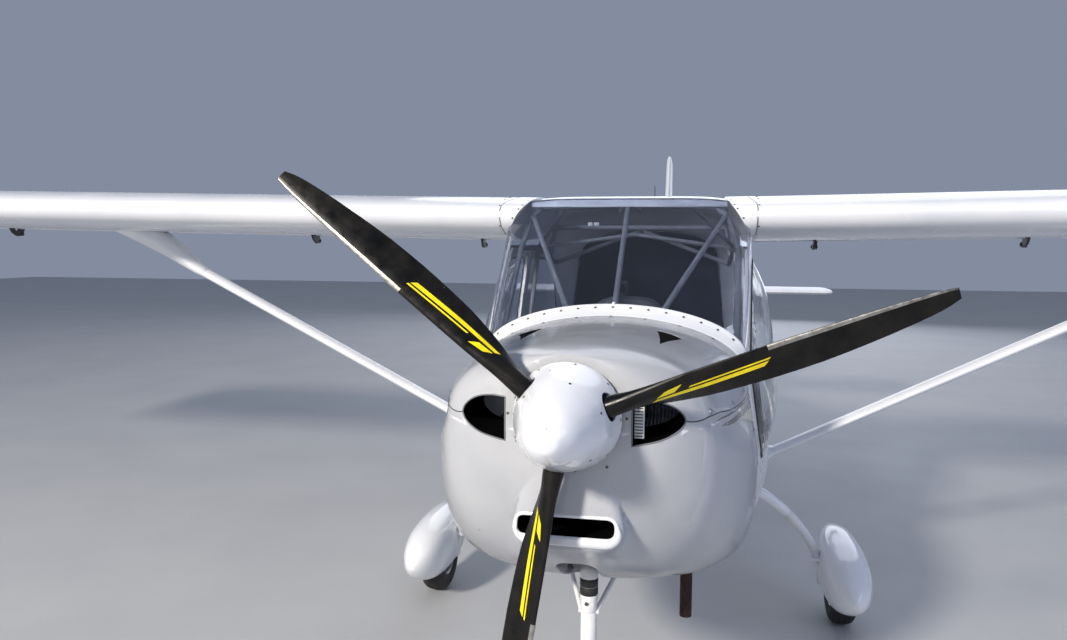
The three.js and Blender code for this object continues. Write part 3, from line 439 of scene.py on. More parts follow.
def through(points, steps=6):
    """A smooth line through points, with that many steps from each to the next."""
    p = np.asarray(points, float)
    n = len(p)
    out = []
    for i in range(n - 1):
        a, b = p[i], p[i + 1]
        before = p[i - 1] if i else 2 * a - b
        after = p[i + 2] if i + 2 < n else 2 * b - a
        for k in range(steps):
            t = k / steps
            out.append(0.5 * (2 * a + (b - before) * t + (2 * before - 5 * a + 4 * b - after) * t * t
                              + (3 * a - before - 3 * b + after) * t ** 3))
    return np.array([*out, p[-1]])


def rounded(outline, radius, steps=5):
    """A flat outline with its corners turned to arcs, as far as its sides allow."""
    p = np.asarray(outline, float)
    n = len(p)
    out = []
    for i in range(n):
        a, b, c = p[i - 1], p[i], p[(i + 1) % n]
        reach = min(radius, 0.45 * np.linalg.norm(b - a), 0.45 * np.linalg.norm(c - b))
        start = b + (a - b) / np.linalg.norm(a - b) * reach
        end = b + (c - b) / np.linalg.norm(c - b) * reach
        for k in range(steps + 1):
            t = k / steps
            out.append(start * (1 - t) ** 2 + 2 * b * t * (1 - t) + end * t * t)
    return np.array(out)


def grown(outline, distance):
    """A flat outline moved outwards along the normals of its points, or inwards if it is negative."""
    p = np.asarray(outline, float)
    area = np.sum(p[:, 0] * np.roll(p[:, 1], -1) - np.roll(p[:, 0], -1) * p[:, 1])
    way = np.roll(p, -1, 0) - np.roll(p, 1, 0)
    way /= np.maximum(np.linalg.norm(way, axis=1, keepdims=True), 1e-9)
    out = np.stack([way[:, 1], -way[:, 0]], 1) * (1 if area > 0 else -1)
    return p + out * distance


def swept(path, radius, sides):
    """A round bar along a path. radius is one number or one for each point."""
    p = np.asarray(path, float)
    radii = np.broadcast_to(radius, len(p))
    way = np.gradient(p, axis=0)
    way /= np.linalg.norm(way, axis=1, keepdims=True)
    start = np.array([0, 0, 1.0]) if abs(way[0][2]) < 0.9 else np.array([0, 1.0, 0])
    side = np.cross(way[0], start)
    turn = 2 * np.pi * np.arange(sides) / sides
    rings = []
    for i in range(len(p)):
        side = side - way[i] * side.dot(way[i])
        side /= np.linalg.norm(side)
        up = np.cross(way[i], side)
        rings.append(p[i] + radii[i] * (np.outer(np.cos(turn), side) + np.outer(np.sin(turn), up)))
    return loft(rings)


def bead(spots, width, height, closed=True):
    """A low strip with a rounded back that lies on a surface. Each spot is a point and the way out there.
    width and height are one number or one for each point."""
    p, out = (np.array(column, float) for column in zip(*spots))
    width, height = np.broadcast_to(width, len(p)), np.broadcast_to(height, len(p))
    way = np.roll(p, -1, 0) - np.roll(p, 1, 0) if closed else np.gradient(p, axis=0)
    way /= np.linalg.norm(way, axis=1, keepdims=True)
    side = np.cross(way, out)
    side /= np.linalg.norm(side, axis=1, keepdims=True)
    shape = [(-0.5, -0.6), (-0.5, 0.35), (-0.34, 0.8), (0, 1), (0.34, 0.8), (0.5, 0.35), (0.5, -0.6)]
    rings = [p[i] + np.array([side[i] * u * width[i] + out[i] * v * height[i] for u, v in shape])
             for i in range(len(p))]
    if closed:
        rings.append(rings[0])
    return loft(rings, ends=not closed)


def turned(profile, origin, axis, sides=48):
    """A turned solid. Its profile holds radius and distance along the axis."""
    axis = Vector(axis).normalized()
    start = Vector((0, 0, 1)) if abs(axis.z) < 0.9 else Vector((0, 1, 0))
    u = np.array(axis.cross(start).normalized())
    v = np.cross(np.array(axis), u)
    turn = 2 * np.pi * np.arange(sides) / sides
    rings = [np.asarray(origin, float) + np.array(axis) * d
             + r * (np.outer(np.cos(turn), u) + np.outer(np.sin(turn), v)) for r, d in profile]
    return loft(rings)


# The body's sections. Columns: station, bottom, half width, its height, shoulder half width, its height, top,
# roundness below and above (2 is round, more is squarer). The lower cowl and the roof's front are squarer
# here than in the solids, as the photograph shows them.
BODY = np.array([
    (75, 1118, 150, 1262, 149, 1280, 1405, 2.0, 2.0),
    (130, 968, 262, 1235, 260, 1262, 1412, 2.1, 2.1),
    (200, 874, 325, 1200, 322, 1235, 1416, 2.3, 2.2),
    (300, 806, 372, 1160, 354, 1215, 1419, 2.7, 2.1),
    (450, 742, 418, 1115, 398, 1200, 1421, 3.3, 2.05),
    (600, 698, 450, 1075, 424, 1205, 1422, 3.9, 2.0),
    (800, 652, 472, 1030, 439, 1226, 1422, 4.2, 2.0),
    (1000, 622, 486, 985, 436, 1246, 1420, 4.2, 1.95),
    (1062, 614, 494, 975, 447, 1270, 1446, 4.1, 1.95),
    (1540, 562, 560, 900, 472, 1658, 1837, 3.2, 5.6),
    (1700, 552, 568, 885, 472, 1658, 1852, 3.2, 5.6),
    (1900, 545, 573, 880, 472, 1658, 1860, 3.2, 5.4),
    (2150, 545, 571, 880, 472, 1658, 1857, 3.2, 5.0),
    (2450, 572, 548, 900, 462, 1650, 1828, 3.2, 3.2),
    (2900, 655, 455, 960, 385, 1540, 1735, 3.0, 2.8),
    (3400, 745, 355, 1030, 300, 1405, 1602, 2.8, 2.6),
    (4200, 890, 225, 1110, 190, 1290, 1432, 2.6, 2.4),
    (4950, 1000, 118, 1150, 100, 1228, 1312, 2.4, 2.2),
    (5500, 1050, 50, 1155, 44, 1200, 1258, 2.2, 2.2),
])
NOSE_S = 75


def monotone(xs, ys):
    """A smooth curve through points that never overshoots them."""
    xs, ys = np.asarray(xs, float), np.asarray(ys, float)
    h = np.diff(xs)
    d = np.diff(ys) / h
    m = np.zeros(len(xs))
    m[0], m[-1] = d[0], d[-1]
    for i in range(1, len(d)):
        if d[i - 1] * d[i] > 0:
            w1, w2 = 2 * h[i] + h[i - 1], h[i] + 2 * h[i - 1]
            m[i] = (w1 + w2) / (w1 / d[i - 1] + w2 / d[i])

    def at(x):
        x = np.clip(x, xs[0], xs[-1])
        i = np.clip(np.searchsorted(xs, x, side="right") - 1, 0, len(h) - 1)
        t = (x - xs[i]) / h[i]
        return (ys[i] * (1 + 2 * t) * (1 - t) ** 2 + m[i] * h[i] * t * (1 - t) ** 2
                + ys[i + 1] * t * t * (3 - 2 * t) + m[i + 1] * h[i] * t * t * (t - 1))
    return at


def curves(table):
    """A smooth curve for each column of a table over its first column."""
    t = np.asarray(table, float)
    return [monotone(t[:, 0], column) for column in t.T[1:]]


# The nose swells with the square root of the station, which makes it round.
swell = lambda s: np.sqrt(np.maximum(s - NOSE_S, 0) + 1) * 30
nose_rows = BODY[BODY[:, 0] <= DECK_END]
nose_rows[:, 0] = swell(nose_rows[:, 0])
NOSE = curves(nose_rows)
REAR = curves(BODY[BODY[:, 0] >= SCREEN_TOP])
# The lower side runs on smoothly past the deck's end: bottom, half width, its height and roundness below
LOW = curves(BODY[BODY[:, 0] >= 1000])
LOW_COLUMNS = (0, 1, 2, 6)


def section(s):
    """Bottom, half width and the rest of the body's section at a station."""
    if s <= DECK_END:
        return [f(swell(s)) for f in NOSE]
    if s >= SCREEN_TOP:
        return [f(s) for f in REAR]
    t = (s - DECK_END) / (SCREEN_TOP - DECK_END)
    straight = [f(swell(DECK_END)) * (1 - t) + g(SCREEN_TOP) * t for f, g in zip(NOSE, REAR)]
    return [LOW[k](s) if k in LOW_COLUMNS else straight[k] for k in range(8)]


def half_ring(s, wall=0.0, low=18, side=14, high=18):
    """The left half of the body's section from the middle of its bottom to the middle of its top."""
    bottom, hw, hw_z, sh, sh_z, top, n_low, n_high = section(s)
    a = np.linspace(0, np.pi / 2, low + 1)
    under = np.stack([(hw - wall) * np.sin(a) ** (2 / n_low),
                      hw_z - (hw_z - bottom - wall) * np.cos(a) ** (2 / n_low)], 1)
    b = np.linspace(0, np.pi / 2, high + 1)
    over = np.stack([(sh - wall) * np.cos(b) ** (2 / n_high),
                     sh_z + (top - sh_z - wall) * np.sin(b) ** (2 / n_high)], 1)
    t = np.linspace(0, 1, side + 1)[1:-1, None]
    flank = under[-1] * (1 - t) + over[0] * t
    half = np.concatenate([under, flank, over])
    half[0, 0] = half[-1, 0] = 0
    return np.stack([half[:, 0], np.full(len(half), s), half[:, 1]], 1)


def mirrored(points):
    return np.asarray(points) * (-1, 1, 1)


def whole_ring(s, wall=0.0, at=None):
    half = half_ring(s, wall)
    ring = np.concatenate([half, mirrored(half[-2:0:-1])])
    if at is not None:
        ring[:, 1] = at
    return ring


def stations(s0, s1, step=40):
    """Even stations between two, with the table's own creases kept."""
    inner = [v for v in (DECK_END, SCREEN_TOP) if s0 < v < s1]
    marks = [s0, *inner, s1]
    out = []
    for a, b in zip(marks, marks[1:]):
        out.extend(np.linspace(a, b, max(2, round((b - a) / step) + 1))[:-1])
    return [*out, s1]


def tube_of_body(s0, s1, wall, outer=0.0, step=40):
    """A length of the body's skin with a wall, open at both ends."""
    rows = stations(s0, s1, step)
    outside = [whole_ring(s, outer) for s in rows]
    inside = [whole_ring(s, outer + wall) for s in rows][::-1]
    return loft([*outside, *inside, outside[0]], ends=False)


def skin_side(s, z, k=1, lift=0.0):
    """The point of the body's flank at a station and height, and the way out there. k is 1 left, -1 right."""
    def x_at(ss, zz):
        half = half_ring(ss)
        return float(np.interp(zz, half[:, 2], half[:, 0]))
    x, d = x_at(s, z), 4.0
    slope_s = (x_at(s + d, z) - x_at(s - d, z)) / (2 * d)
    slope_z = (x_at(s, z + d) - x_at(s, z - d)) / (2 * d)
    out = np.array([k, -slope_s, -slope_z])
    out /= np.linalg.norm(out)
    return np.array([k * x, s, z]) + out * lift, out


def skin_top(s, x, lift=0.0):
    """The point of the body's upper side at a station and distance from the middle, and the way out there."""
    def z_at(ss, xx):
        half = half_ring(ss)
        upper = half[half[:, 2] >= section(ss)[4] - 1][::-1]
        return float(np.interp(abs(xx), upper[:, 0], upper[:, 2]))
    d = 4.0
    slope_x = (z_at(s, x + d) - z_at(s, x - d)) / (2 * d)
    slope_s = (z_at(s + d, x) - z_at(s - d, x)) / (2 * d)
    out = np.array([-slope_x, -slope_s, 1])
    out /= np.linalg.norm(out)
    return np.array([x, s, z_at(s, x)]) + out * lift, out


ACROSS, AFT, FORWARD, UP = (1, 0, 0), (0, 1, 0), (0, -1, 0), (0, 0, 1)
SIDES = (("left", 1), ("right", -1))


def drum(radius, low, high, origin, axis, sides):
    """A round bar from low to high along an axis."""
    return turned([(0, low), (radius, low), (radius, high), (0, high)], origin, axis, sides)


def screw(radius, crown_radius, height, spot, out, sides):
    """One round-headed screw."""
    return turned([(0, 0), (radius, 0), (crown_radius, 1.6), (0, height)], spot, out, sides)


# Fasteners and other repeats, made by one small tree of nodes


def fastener_tree():
    """Sets round heads at an even spacing along lines, standing out from the surface that they lie on."""
    tree = bpy.data.node_groups.new("fasteners_along_lines", "GeometryNodeTree")
    sockets = {}
    for name, kind in (("Lines", "Geometry"), ("Spacing", "Float"), ("Head Radius", "Float"),
                       ("Head Height", "Float"), ("Sides", "Int"), ("Finish", "Material"),
                       ("Heads", "Geometry")):
        way = "OUTPUT" if name == "Heads" else "INPUT"
        made = tree.interface.new_socket(name, in_out=way, socket_type="NodeSocket" + kind)
        sockets[name] = made.identifier
    given = add(tree, "NodeGroupInput").outputs
    line = add(tree, "GeometryNodeMeshToCurve", {"Mesh": given["Lines"]}).outputs[0]
    points = add(tree, "GeometryNodeResampleCurve", {"Curve": line, "Length": given["Spacing"]},
                 mode="LENGTH")
    crown = add(tree, "ShaderNodeMath", {0: given["Head Radius"], 1: 0.62}, operation="MULTIPLY").outputs[0]
    head = add(tree, "GeometryNodeMeshCone", {
        "Vertices": given["Sides"], "Radius Bottom": given["Head Radius"], "Radius Top": crown,
        "Depth": given["Head Height"]}).outputs["Mesh"]
    out = add(tree, "GeometryNodeInputNamedAttribute", {"Name": "outwards"}, data_type="FLOAT_VECTOR")
    turn = add(tree, "FunctionNodeAlignRotationToVector", {"Vector": out.outputs["Attribute"]}, axis="Z")
    placed = add(tree, "GeometryNodeInstanceOnPoints", {
        "Points": points.outputs[0], "Instance": head, "Rotation": turn.outputs[0]}).outputs[0]
    real = add(tree, "GeometryNodeRealizeInstances", {"Geometry": placed}).outputs[0]
    named = add(tree, "GeometryNodeSetMaterial", {"Geometry": real, "Material": given["Finish"]}).outputs[0]
    add(tree, "NodeGroupOutput", {"Heads": named})
    return tree, sockets


FASTENERS, FASTENER_SOCKETS = fastener_tree()


def fasteners(name, lines, look, spacing, radius, height, sides, body="airframe"):
    """Heads along several lines. Each line is a list of (point, way out), in millimetres."""
    points, outs, edges = [], [], []
    for line in lines:
        first = len(points)
        for point, out in line:
            points.append(point)
            outs.append(out)
        edges += [(first + i, first + i + 1) for i in range(len(line) - 1)]
    mesh = bpy.data.meshes.new(name)
    mesh.from_pydata(metres(points).tolist(), edges, [])
    field = mesh.attributes.new("outwards", "FLOAT_VECTOR", "POINT")
    field.data.foreach_set("vector", np.asarray(outs, float).ravel())
    made = placed(name, mesh)
    nodes = made.modifiers.new("heads", "NODES")
    nodes.node_group = FASTENERS
    for key, value in (("Spacing", spacing / 1000), ("Head Radius", radius / 1000),
                       ("Head Height", height / 1000), ("Sides", sides), ("Finish", look)):
        nodes[FASTENER_SOCKETS[key]] = value
    baked(made)
    return show(made, name, look, crease=50, body=body)


# Cowl


CENTRE_Z = 1200
AROUND = 176
RAYS = 2 * np.pi * np.arange(AROUND) / AROUND
CHIN = np.array([
    # station, half width, bottom
    (75, 96, 1116), (78, 116, 1040), (82, 130, 985), (88, 138, 955), (96, 143, 941), (110, 143, 930),
    (131, 144, 917), (168, 160, 893), (197, 188, 872), (240, 212, 842), (274, 222, 824), (460, 235, 738),
    (700, 240, 676), (1000, 240, 640),
])
CHIN_FULL = 215
chin_width, chin_bottom = curves(CHIN)


def cowl_reach(s):
    """The cowl's distance from its middle line all round, the chin blended in. The first is straight down."""
    half = half_ring(s, low=60, side=12, high=60)
    angle = np.arctan2(half[:, 0], CENTRE_Z - half[:, 2])
    reach = np.hypot(half[:, 0], CENTRE_Z - half[:, 2])
    folded = np.minimum(RAYS, 2 * np.pi - RAYS)
    body = np.interp(folded, angle, reach)
    sideways, down = np.abs(np.sin(folded)), np.maximum(np.cos(folded), 1e-3)
    depth = CENTRE_Z - chin_bottom(s)
    squarish = lambda half_width: ((sideways / half_width) ** 5 + (down / depth) ** 5) ** -0.2
    chin = squarish(chin_width(s))
    taper = np.minimum(1, 0.25 + 0.75 * chin * down / CHIN_FULL)
    chin = np.where(np.cos(folded) > 0.05, squarish(chin_width(s) * taper), 0)
    soft = 7.0
    share = np.clip(0.5 + 0.5 * (body - chin) / soft, 0, 1)
    return body * share + chin * (1 - share) + soft * share * (1 - share)


def ring_at(s, reach):
    """A ring of points at a station, at their distances from the cowl's middle line."""
    return np.stack([reach * np.sin(RAYS), np.full(AROUND, s), CENTRE_Z - reach * np.cos(RAYS)], 1)


def hub_ring(radius, s):
    """A circle round the propeller's shaft, with its points on the same rays as the cowl's."""
    up = HUB_Z - CENTRE_Z
    return ring_at(s, -up * np.cos(RAYS) + np.sqrt(radius ** 2 - (up * np.sin(RAYS)) ** 2))


def front_station(x, z):
    """The station at which a point of the cowl's front face lies on its skin."""
    low, high = float(NOSE_S), 400.0
    phi = math.atan2(x, CENTRE_Z - z) % (2 * math.pi)
    spot = math.hypot(x, CENTRE_Z - z)
    grid = 2 * np.pi * np.arange(AROUND + 1) / AROUND
    for _ in range(18):
        mid = (low + high) / 2
        reach = cowl_reach(mid)
        if np.interp(phi, grid, np.append(reach, reach[0])) < spot:
            low = mid
        else:
            high = mid
    return (low + high) / 2


def on_front(x, z, lift=0.0):
    """The point of the cowl's front skin at a place seen from ahead, and the way out there."""
    d = 3.0
    slope_x = (front_station(x + d, z) - front_station(x - d, z)) / (2 * d)
    slope_z = (front_station(x, z + d) - front_station(x, z - d)) / (2 * d)
    out = np.array([slope_x, -1.0, slope_z])
    out /= np.linalg.norm(out)
    return np.array([x, front_station(x, z), z]) + out * lift, out


COWL_ROWS = [75, 77, 80, 84, 89, 95, 103, 113, 125, 140, 158, 180, 206, 236, 270, 308, 350, 395, 440, 490,
             540, 590, 640, 700, 760, 820, 880, 940, 1000]
COWL_SKIN = 5
cowl_face = [hub_ring(84, 83), hub_ring(92, 78.5), hub_ring(108, 75.8), hub_ring(126, 74.6)]
cowl = thick(loft([*cowl_face, *(ring_at(s, cowl_reach(s)) for s in COWL_ROWS)], ends=False), COWL_SKIN)
cleaned(cowl)

INLET_SIDE_X = 148
INLET_ARC = through([(INLET_SIDE_X, 1303), (178, 1305), (208, 1301), (236, 1290), (258, 1272),
                     (267, 1253), (259, 1236), (239, 1222), (208, 1210), (INLET_SIDE_X, 1199)], 6)
INLET_SIDE = [(INLET_SIDE_X, z) for z in np.linspace(1199, 1303, 12)[1:-1]]
INLET = np.concatenate([INLET_ARC, INLET_SIDE])
MOUTH_LEFT, MOUTH_RIGHT, MOUTH_LOW, MOUTH_HIGH = 112, -122, 973, 1023
mouth_mid, mouth_half = (MOUTH_LOW + MOUTH_HIGH) / 2, (MOUTH_HIGH - MOUTH_LOW) / 2
MOUTH = []
for a in np.radians(np.arange(-90, 271, 9)):
    end = MOUTH_LEFT - mouth_half if math.cos(a) > 0 else MOUTH_RIGHT + mouth_half
    c, d = (math.copysign(abs(v) ** 0.75, v) for v in (math.cos(a), math.sin(a)))
    MOUTH.append((end + mouth_half * c, mouth_mid + mouth_half * d))
MOUTH = np.array(MOUTH[:-1])
# Deck vents: flush ducts that widen aft, as x and station
VENT = np.array([(168, 693), (188, 697), (210, 695), (245, 671), (228, 606), (208, 528), (190, 432),
                 (185, 526), (177, 620)])
# Slot in the chin for the nose leg, as x and station
CHIN_SLOT = rounded([(-54, 206), (54, 206), (50, 560), (-50, 560)], 46, 10)
OUTLET = rounded([(-330, 905), (330, 905), (330, 1010), (-330, 1010)], 40)
carved(cowl, [
    prism(INLET, "s", 40, 260),
    prism(INLET * (-1, 1), "s", 40, 260),
    prism(MOUTH, "s", 40, 300),
    prism(VENT, "z", 1340, 1500),
    prism(VENT * (-1, 1), "z", 1340, 1500),
    prism(OUTLET, "z", 560, 760),
    prism(CHIN_SLOT, "z", 640, 920),
])
lower_cowl = copied(cowl)
SEAM = 0.2
carved(cowl, [block(-700, 700, 0, 1100, 400, COWL_SPLIT_Z + SEAM / 2)])
carved(lower_cowl, [block(-700, 700, 0, 1100, COWL_SPLIT_Z - SEAM / 2, 1700)])
show(cowl, "cowl_upper_skin", GELCOAT, ["cowl_upper"])
show(lower_cowl, "cowl_lower_skin", GELCOAT, ["cowl_lower"])


def rim(outline, width, height, name, look=GELCOAT):
    """A rounded lip on the cowl's front skin along an outline seen from ahead."""
    lip = bead([on_front(x, z) for x, z in outline], width, height)
    return show(lip, name, look, crease=60)


def duct(outline, depth, shrink, name):
    """A near-black passage from an opening back towards the engine; its black is painted shade."""
    middle = outline.mean(0)
    rows = []
    for t in (0.0, 0.15, 0.4, 0.7, 1.0):
        flat = grown(middle + (outline - middle) * (1 - shrink * t), -1.5)
        rows.append([(x, front_station(*spot) + 4 + depth * t, z) for (x, z), spot in zip(flat, outline)])
    return show(thick(loft(rows, ends=False), 1.5, 1.0), name, PAINTED_SHADE_BLACK)


# Each inlet: a grey lip round its edge, painted shade along the opening's rim, and a duct behind
for side, k in SIDES:
    outline = INLET * (k, 1)
    rim(outline, 3.5, 1.6, f"inlet_lip_painted_shade_{side}", TUBE_GREY)
    duct(outline, 150, 0.2, f"inlet_duct_{side}")
# The mouth's lip is wide below and narrow above
low_share = np.clip((MOUTH_HIGH - MOUTH[:, 1]) / (MOUTH_HIGH - MOUTH_LOW), 0, 1)
lip_width = 8 + 18 * low_share ** 2
rim(grown(MOUTH, 0.5 * lip_width[:, None] - 1), lip_width, 2.4 + 4.5 * low_share, "mouth_lip")
duct(MOUTH, 170, 0.15, "mouth_duct")
# Deck vents: a near-black plug just under the skin in each opening, painted shade for the vent's dark inside
for side, k in SIDES:
    above, below = [], []
    for x, s in VENT:
        z = skin_top(s, x)[0][2]
        above.append((k * x, s, z - 0.8))
        below.append((k * x, s, z - 40))
    show(loft([below, above]), f"deck_vent_shade_plug_{side}", PAINTED_SHADE_BLACK)

# Pale plate in the inner corner of the left inlet, with thin black strips on it as painted shade for its
# cooling slits
show(softened(block(149, 174, 104, 110, 1212, 1290), 1, 1), "inlet_slat_plate", LEG_PAINT)
slits = [block(152, 171, 102.6, 105, z, z + 2.1) for z in np.arange(1217, 1286, 7.2)]
show(joined(slits), "inlet_slit_shade_strips", BLOCK_RUBBER)

# Round-headed screws on the cowl's face, as x and height
FACE_SCREWS = ((-141, 1264), (-120, 1200), (136, 1263), (92, 1149), (55, 1163), (-66, 1151))
face_screws = []
for x, z in FACE_SCREWS:
    spot, out = on_front(x, z, -0.5)
    face_screws.append(screw(3.8, 3.2, 2.2, spot, out, 14))
show(joined(face_screws), "cowl_face_screws", SCREW)

# Fasteners of the upper cowl along each flank, above the joint
seam_lines = [[skin_side(s, COWL_SPLIT_Z + 20, k, 0.4) for s in np.arange(419, 843, 30.14)] for k in (1, -1)]

# Swept tapes on the cowl's flanks. Columns: station, lower edge, upper edge
FLANK_TAPES = {
    "thin": ((232, 1232, 1233), (300, 1228, 1232), (371, 1225, 1230), (522, 1223, 1229), (760, 1204, 1211),
             (998, 1174, 1182)),
    "wide": ((280, 1213, 1214), (320, 1207, 1213), (357, 1202, 1212), (419, 1199, 1213), (481, 1199, 1213),
             (628, 1192, 1206), (800, 1173, 1187), (998, 1146, 1160)),
    "sand": ((470, 1197.5, 1198.5), (508, 1190, 1198), (585, 1173, 1195), (720, 1140, 1181),
             (860, 1102, 1165), (998, 1058, 1145)),
}
for name, table in FLANK_TAPES.items():
    low, high = curves(table)
    strips = []
    for s in np.arange(table[0][0], table[-1][0], 12):
        strips.append([skin_side(s, z, 1, 0.7)[0] for z in np.linspace(float(low(s)), float(high(s)), 5)])
    look = SAND_TAPE if name == "sand" else GREY_TAPE
    both(sheet(strips, 0.3, 0.0), f"flank_tape_{name}", look)

# The cowl halves' joint, which dips behind each inlet to its first fastener
JOINT = through([(134, 1253), (140, 1250), (148, 1248), (161, 1247), (173, 1248), (185, 1250),
                 (208, 1252), (288, 1247), (379, 1237), (560, 1231), (780, 1229), (996, 1228)], 4)
joint_line = bead([skin_side(s, z, 1, 0.1) for s, z in JOINT], 2.4, 0.9, closed=False)
latch_spot, latch_out = skin_side(212, 1261, 1, -0.5)
latch = turned([(0, 0), (8, 0), (8, 1.6), (5.5, 3), (0, 3.4)], latch_spot, latch_out, 20)
both(joint_line, "cowl_joint_line", SEAL, crease=60)
both(latch, "cowl_latch", ALLOY)


RING_LOW, RING_SIDE = 24, 12
BODY_MIDDLE_Z = 1100
TOP_START = RING_LOW + RING_SIDE


def ring_line(s, lift, start, k=1):
    """A line round the body's skin at a station, as (point, way out), from a point of its ring to the top."""
    ahead, half, behind = (half_ring(at, low=RING_LOW, side=RING_SIDE, high=RING_LOW)
                           for at in (s - 4, s, s + 4))
    out = []
    for i in range(start, len(half)):
        a, b = half[i - 1], half[min(len(half) - 1, i + 1)]
        if i == len(half) - 1:
            b = mirrored(half[-2])
        normal = np.cross(b - a, behind[i] - ahead[i])
        if normal.dot(half[i] - (0, half[i][1], BODY_MIDDLE_Z)) < 0:
            normal = -normal
        normal /= np.linalg.norm(normal)
        spot = half[i] + normal * lift
        out.append((spot * (k, 1, 1), normal * (k, 1, 1)))
    return out


cowl_rear = [ring_line(982, 0.6, 4, k) for k in (1, -1)]
fasteners("cowl_screws", cowl_rear, SCREW, 112, 5.2, 1.8, 12)
fasteners("cowl_side_screws", seam_lines, ALLOY, 211, 6.5, 2, 14)

# Windscreen's foot: a moulded white strip up the deck's last slope, with a row of dark screws
FOOT_ROWS = (
    # station, height over the skin
    (1004, 0.2), (1006, 1.6), (1014, 2.4), (1030, 2.6), (1048, 3.0), (1062, 3.6), (1070, 3.4), (1072, 1.8),
)
foot = []
for s, lift in FOOT_ROWS:
    left = [p for p, _ in ring_line(s, lift, TOP_START - 3)]
    foot.append([*left, *mirrored(left[-2::-1])])
show(sheet(foot, 2.4), "windscreen_foot", GELCOAT, crease=50)
foot_line = ring_line(1054, 3.4, TOP_START - 1)
foot_line += [(mirrored(p), mirrored(o)) for p, o in foot_line[-2::-1]]
fasteners("windscreen_screws", [foot_line], SCREW, 59, 5.2, 2.4, 12)
post_foot = softened(block(-5, 5, 1064, 1084, 1440, 1462), 3)
show(post_foot, "windscreen_post_foot", LEG_PAINT)


# Propeller


SPINNER = [(0, -215), (14, -211), (30, -200), (56, -165), (80, -110), (97, -60), (106, -30), (116, 10),
           (123, 40), (127, 58)]
SPINNER_WALL = 4
outer = through([(-SPINNER[1][0], SPINNER[1][1]), *SPINNER], 5)[5:]
outer[0] = SPINNER[0]
SPINNER_R, SPINNER_END = SPINNER[-1]
inner = [(max(0.0, r - SPINNER_WALL), min(s + SPINNER_WALL * 1.2, SPINNER_END)) for r, s in outer[::-1]]
spinner = turned([*outer, (SPINNER_R - SPINNER_WALL, SPINNER_END), *inner], HUB, AFT, 96)


def around_shaft(angle, radius, s=0.0):
    """A point at an angle and distance from the shaft. 0 degrees is to the left and 90 straight up."""
    a = math.radians(angle)
    return np.array([radius * math.cos(a), s, HUB_Z + radius * math.sin(a)])


def sleeve(angle, radius, low, high):
    """A round bar that stands out from the shaft at an angle."""
    a = math.radians(angle)
    return drum(radius, low, high, HUB, (math.cos(a), 0, math.sin(a)), 40)


carved(spinner, [sleeve(a, 33, 60, 160) for a in BLADE_ANGLES])
show(spinner, "spinner_shell", GELCOAT, ["spinner"], body="propeller")
back_plate = turned([(0, 54), (60, 54), (119, 54), (125, 55.5), (127, 58.5), (125, 62), (60, 62), (0, 62)],
                    HUB, AFT, 96)
hub = carved(turned([(0, -36), (50, -36), (57, -30), (59, 30), (60, 54), (0, 54)], HUB, AFT, 48),
             [sleeve(a, 26, 40, 80) for a in BLADE_ANGLES])
show(joined([back_plate, hub]), "hub_and_back_plate", ALLOY, ["prop_hub"], body="propeller")
skirt = [[around_shaft(a, 124.8, 48), around_shaft(a, 1, 0) - around_shaft(a, 0, 0)]
         for a in np.arange(BLADE_ANGLES[0] + 20, BLADE_ANGLES[0] + 381, 5)]
fasteners("spinner_screws", [skirt], SCREW, 83.5, 3.4, 1.4, 10, "propeller")
# Plugged screw holes on the spinner's shoulder, ahead of each blade and about halfway to the next
PLUG_RADIUS, PLUG_S = 98.4, -55
plugs = []
for turn in (0, 55):
    for angle in BLADE_ANGLES:
        out = around_shaft(angle + turn, 1) - around_shaft(angle + turn, 0) + np.array([0, -0.4, 0])
        spot = around_shaft(angle + turn, PLUG_RADIUS - 0.6, PLUG_S)
        plugs.append(screw(3.4, 3.0, 2.2, spot, out, 14))
show(joined(plugs), "spinner_plugs", SCREW, body="propeller")

# Blades. Columns: radius, chord, thickness, pitch in degrees, share of the chord ahead of the pitch axis
BLADE = np.array([
    (62, 50, 50, 62, 0.5), (118, 50, 48, 58, 0.5), (180, 64, 32, 48, 0.4), (260, 79, 20, 40, 0.34),
    (340, 86, 14.5, 34, 0.31), (450, 87, 11, 29, 0.3), (560, 82, 9, 25, 0.3), (660, 71, 7.5, 22, 0.32),
    (760, 56, 6, 19.5, 0.36), (830, 40, 4.6, 18, 0.42), (860, 25, 3.4, 17.5, 0.5),
])
blade_at = curves(BLADE)
UPPER = monotone([0, 0.02, 0.08, 0.28, 0.55, 0.82, 1], [0, 0.2, 0.42, 0.62, 0.52, 0.24, 0.03])
LOWER = monotone([0, 0.02, 0.12, 0.4, 0.7, 0.96, 1], [0, -0.12, -0.28, -0.38, -0.26, -0.05, 0.0])


def blade_point(angle, r, u, upper, lift=0.0):
    """A point of a blade's skin: u runs from the leading edge, 0, to the trailing edge, 1."""
    chord, thick_mm, pitch, front = [float(f(r)) for f in blade_at]
    a, b = math.radians(angle), math.radians(pitch)
    out = np.array([math.cos(a), 0, math.sin(a)])
    ahead = np.array([-math.sin(a), 0, math.cos(a)])
    nose = ahead * math.cos(b) + np.array([0, -math.sin(b), 0])
    face = -ahead * math.sin(b) + np.array([0, -math.cos(b), 0])
    round_share = min(1.0, max(0.0, (220 - r) / 100))
    v = float(UPPER(u) if upper else LOWER(u))
    turn = math.acos(max(-1.0, min(1.0, 1 - 2 * u)))
    rv = 0.5 * math.sin(turn) * (1 if upper else -1)
    high = (v * (1 - round_share) + rv * round_share) * thick_mm
    side = 1 if upper else -1
    return (out * r + nose * (front - u) * chord + face * (high + side * lift)
            + np.array([0, 0, HUB_Z]))


def blade_ring(angle, r):
    spots = (1 - np.cos(np.linspace(0, np.pi, 22))) / 2
    return [*(blade_point(angle, r, u, True) for u in spots),
            *(blade_point(angle, r, u, False) for u in spots[-2:0:-1])]


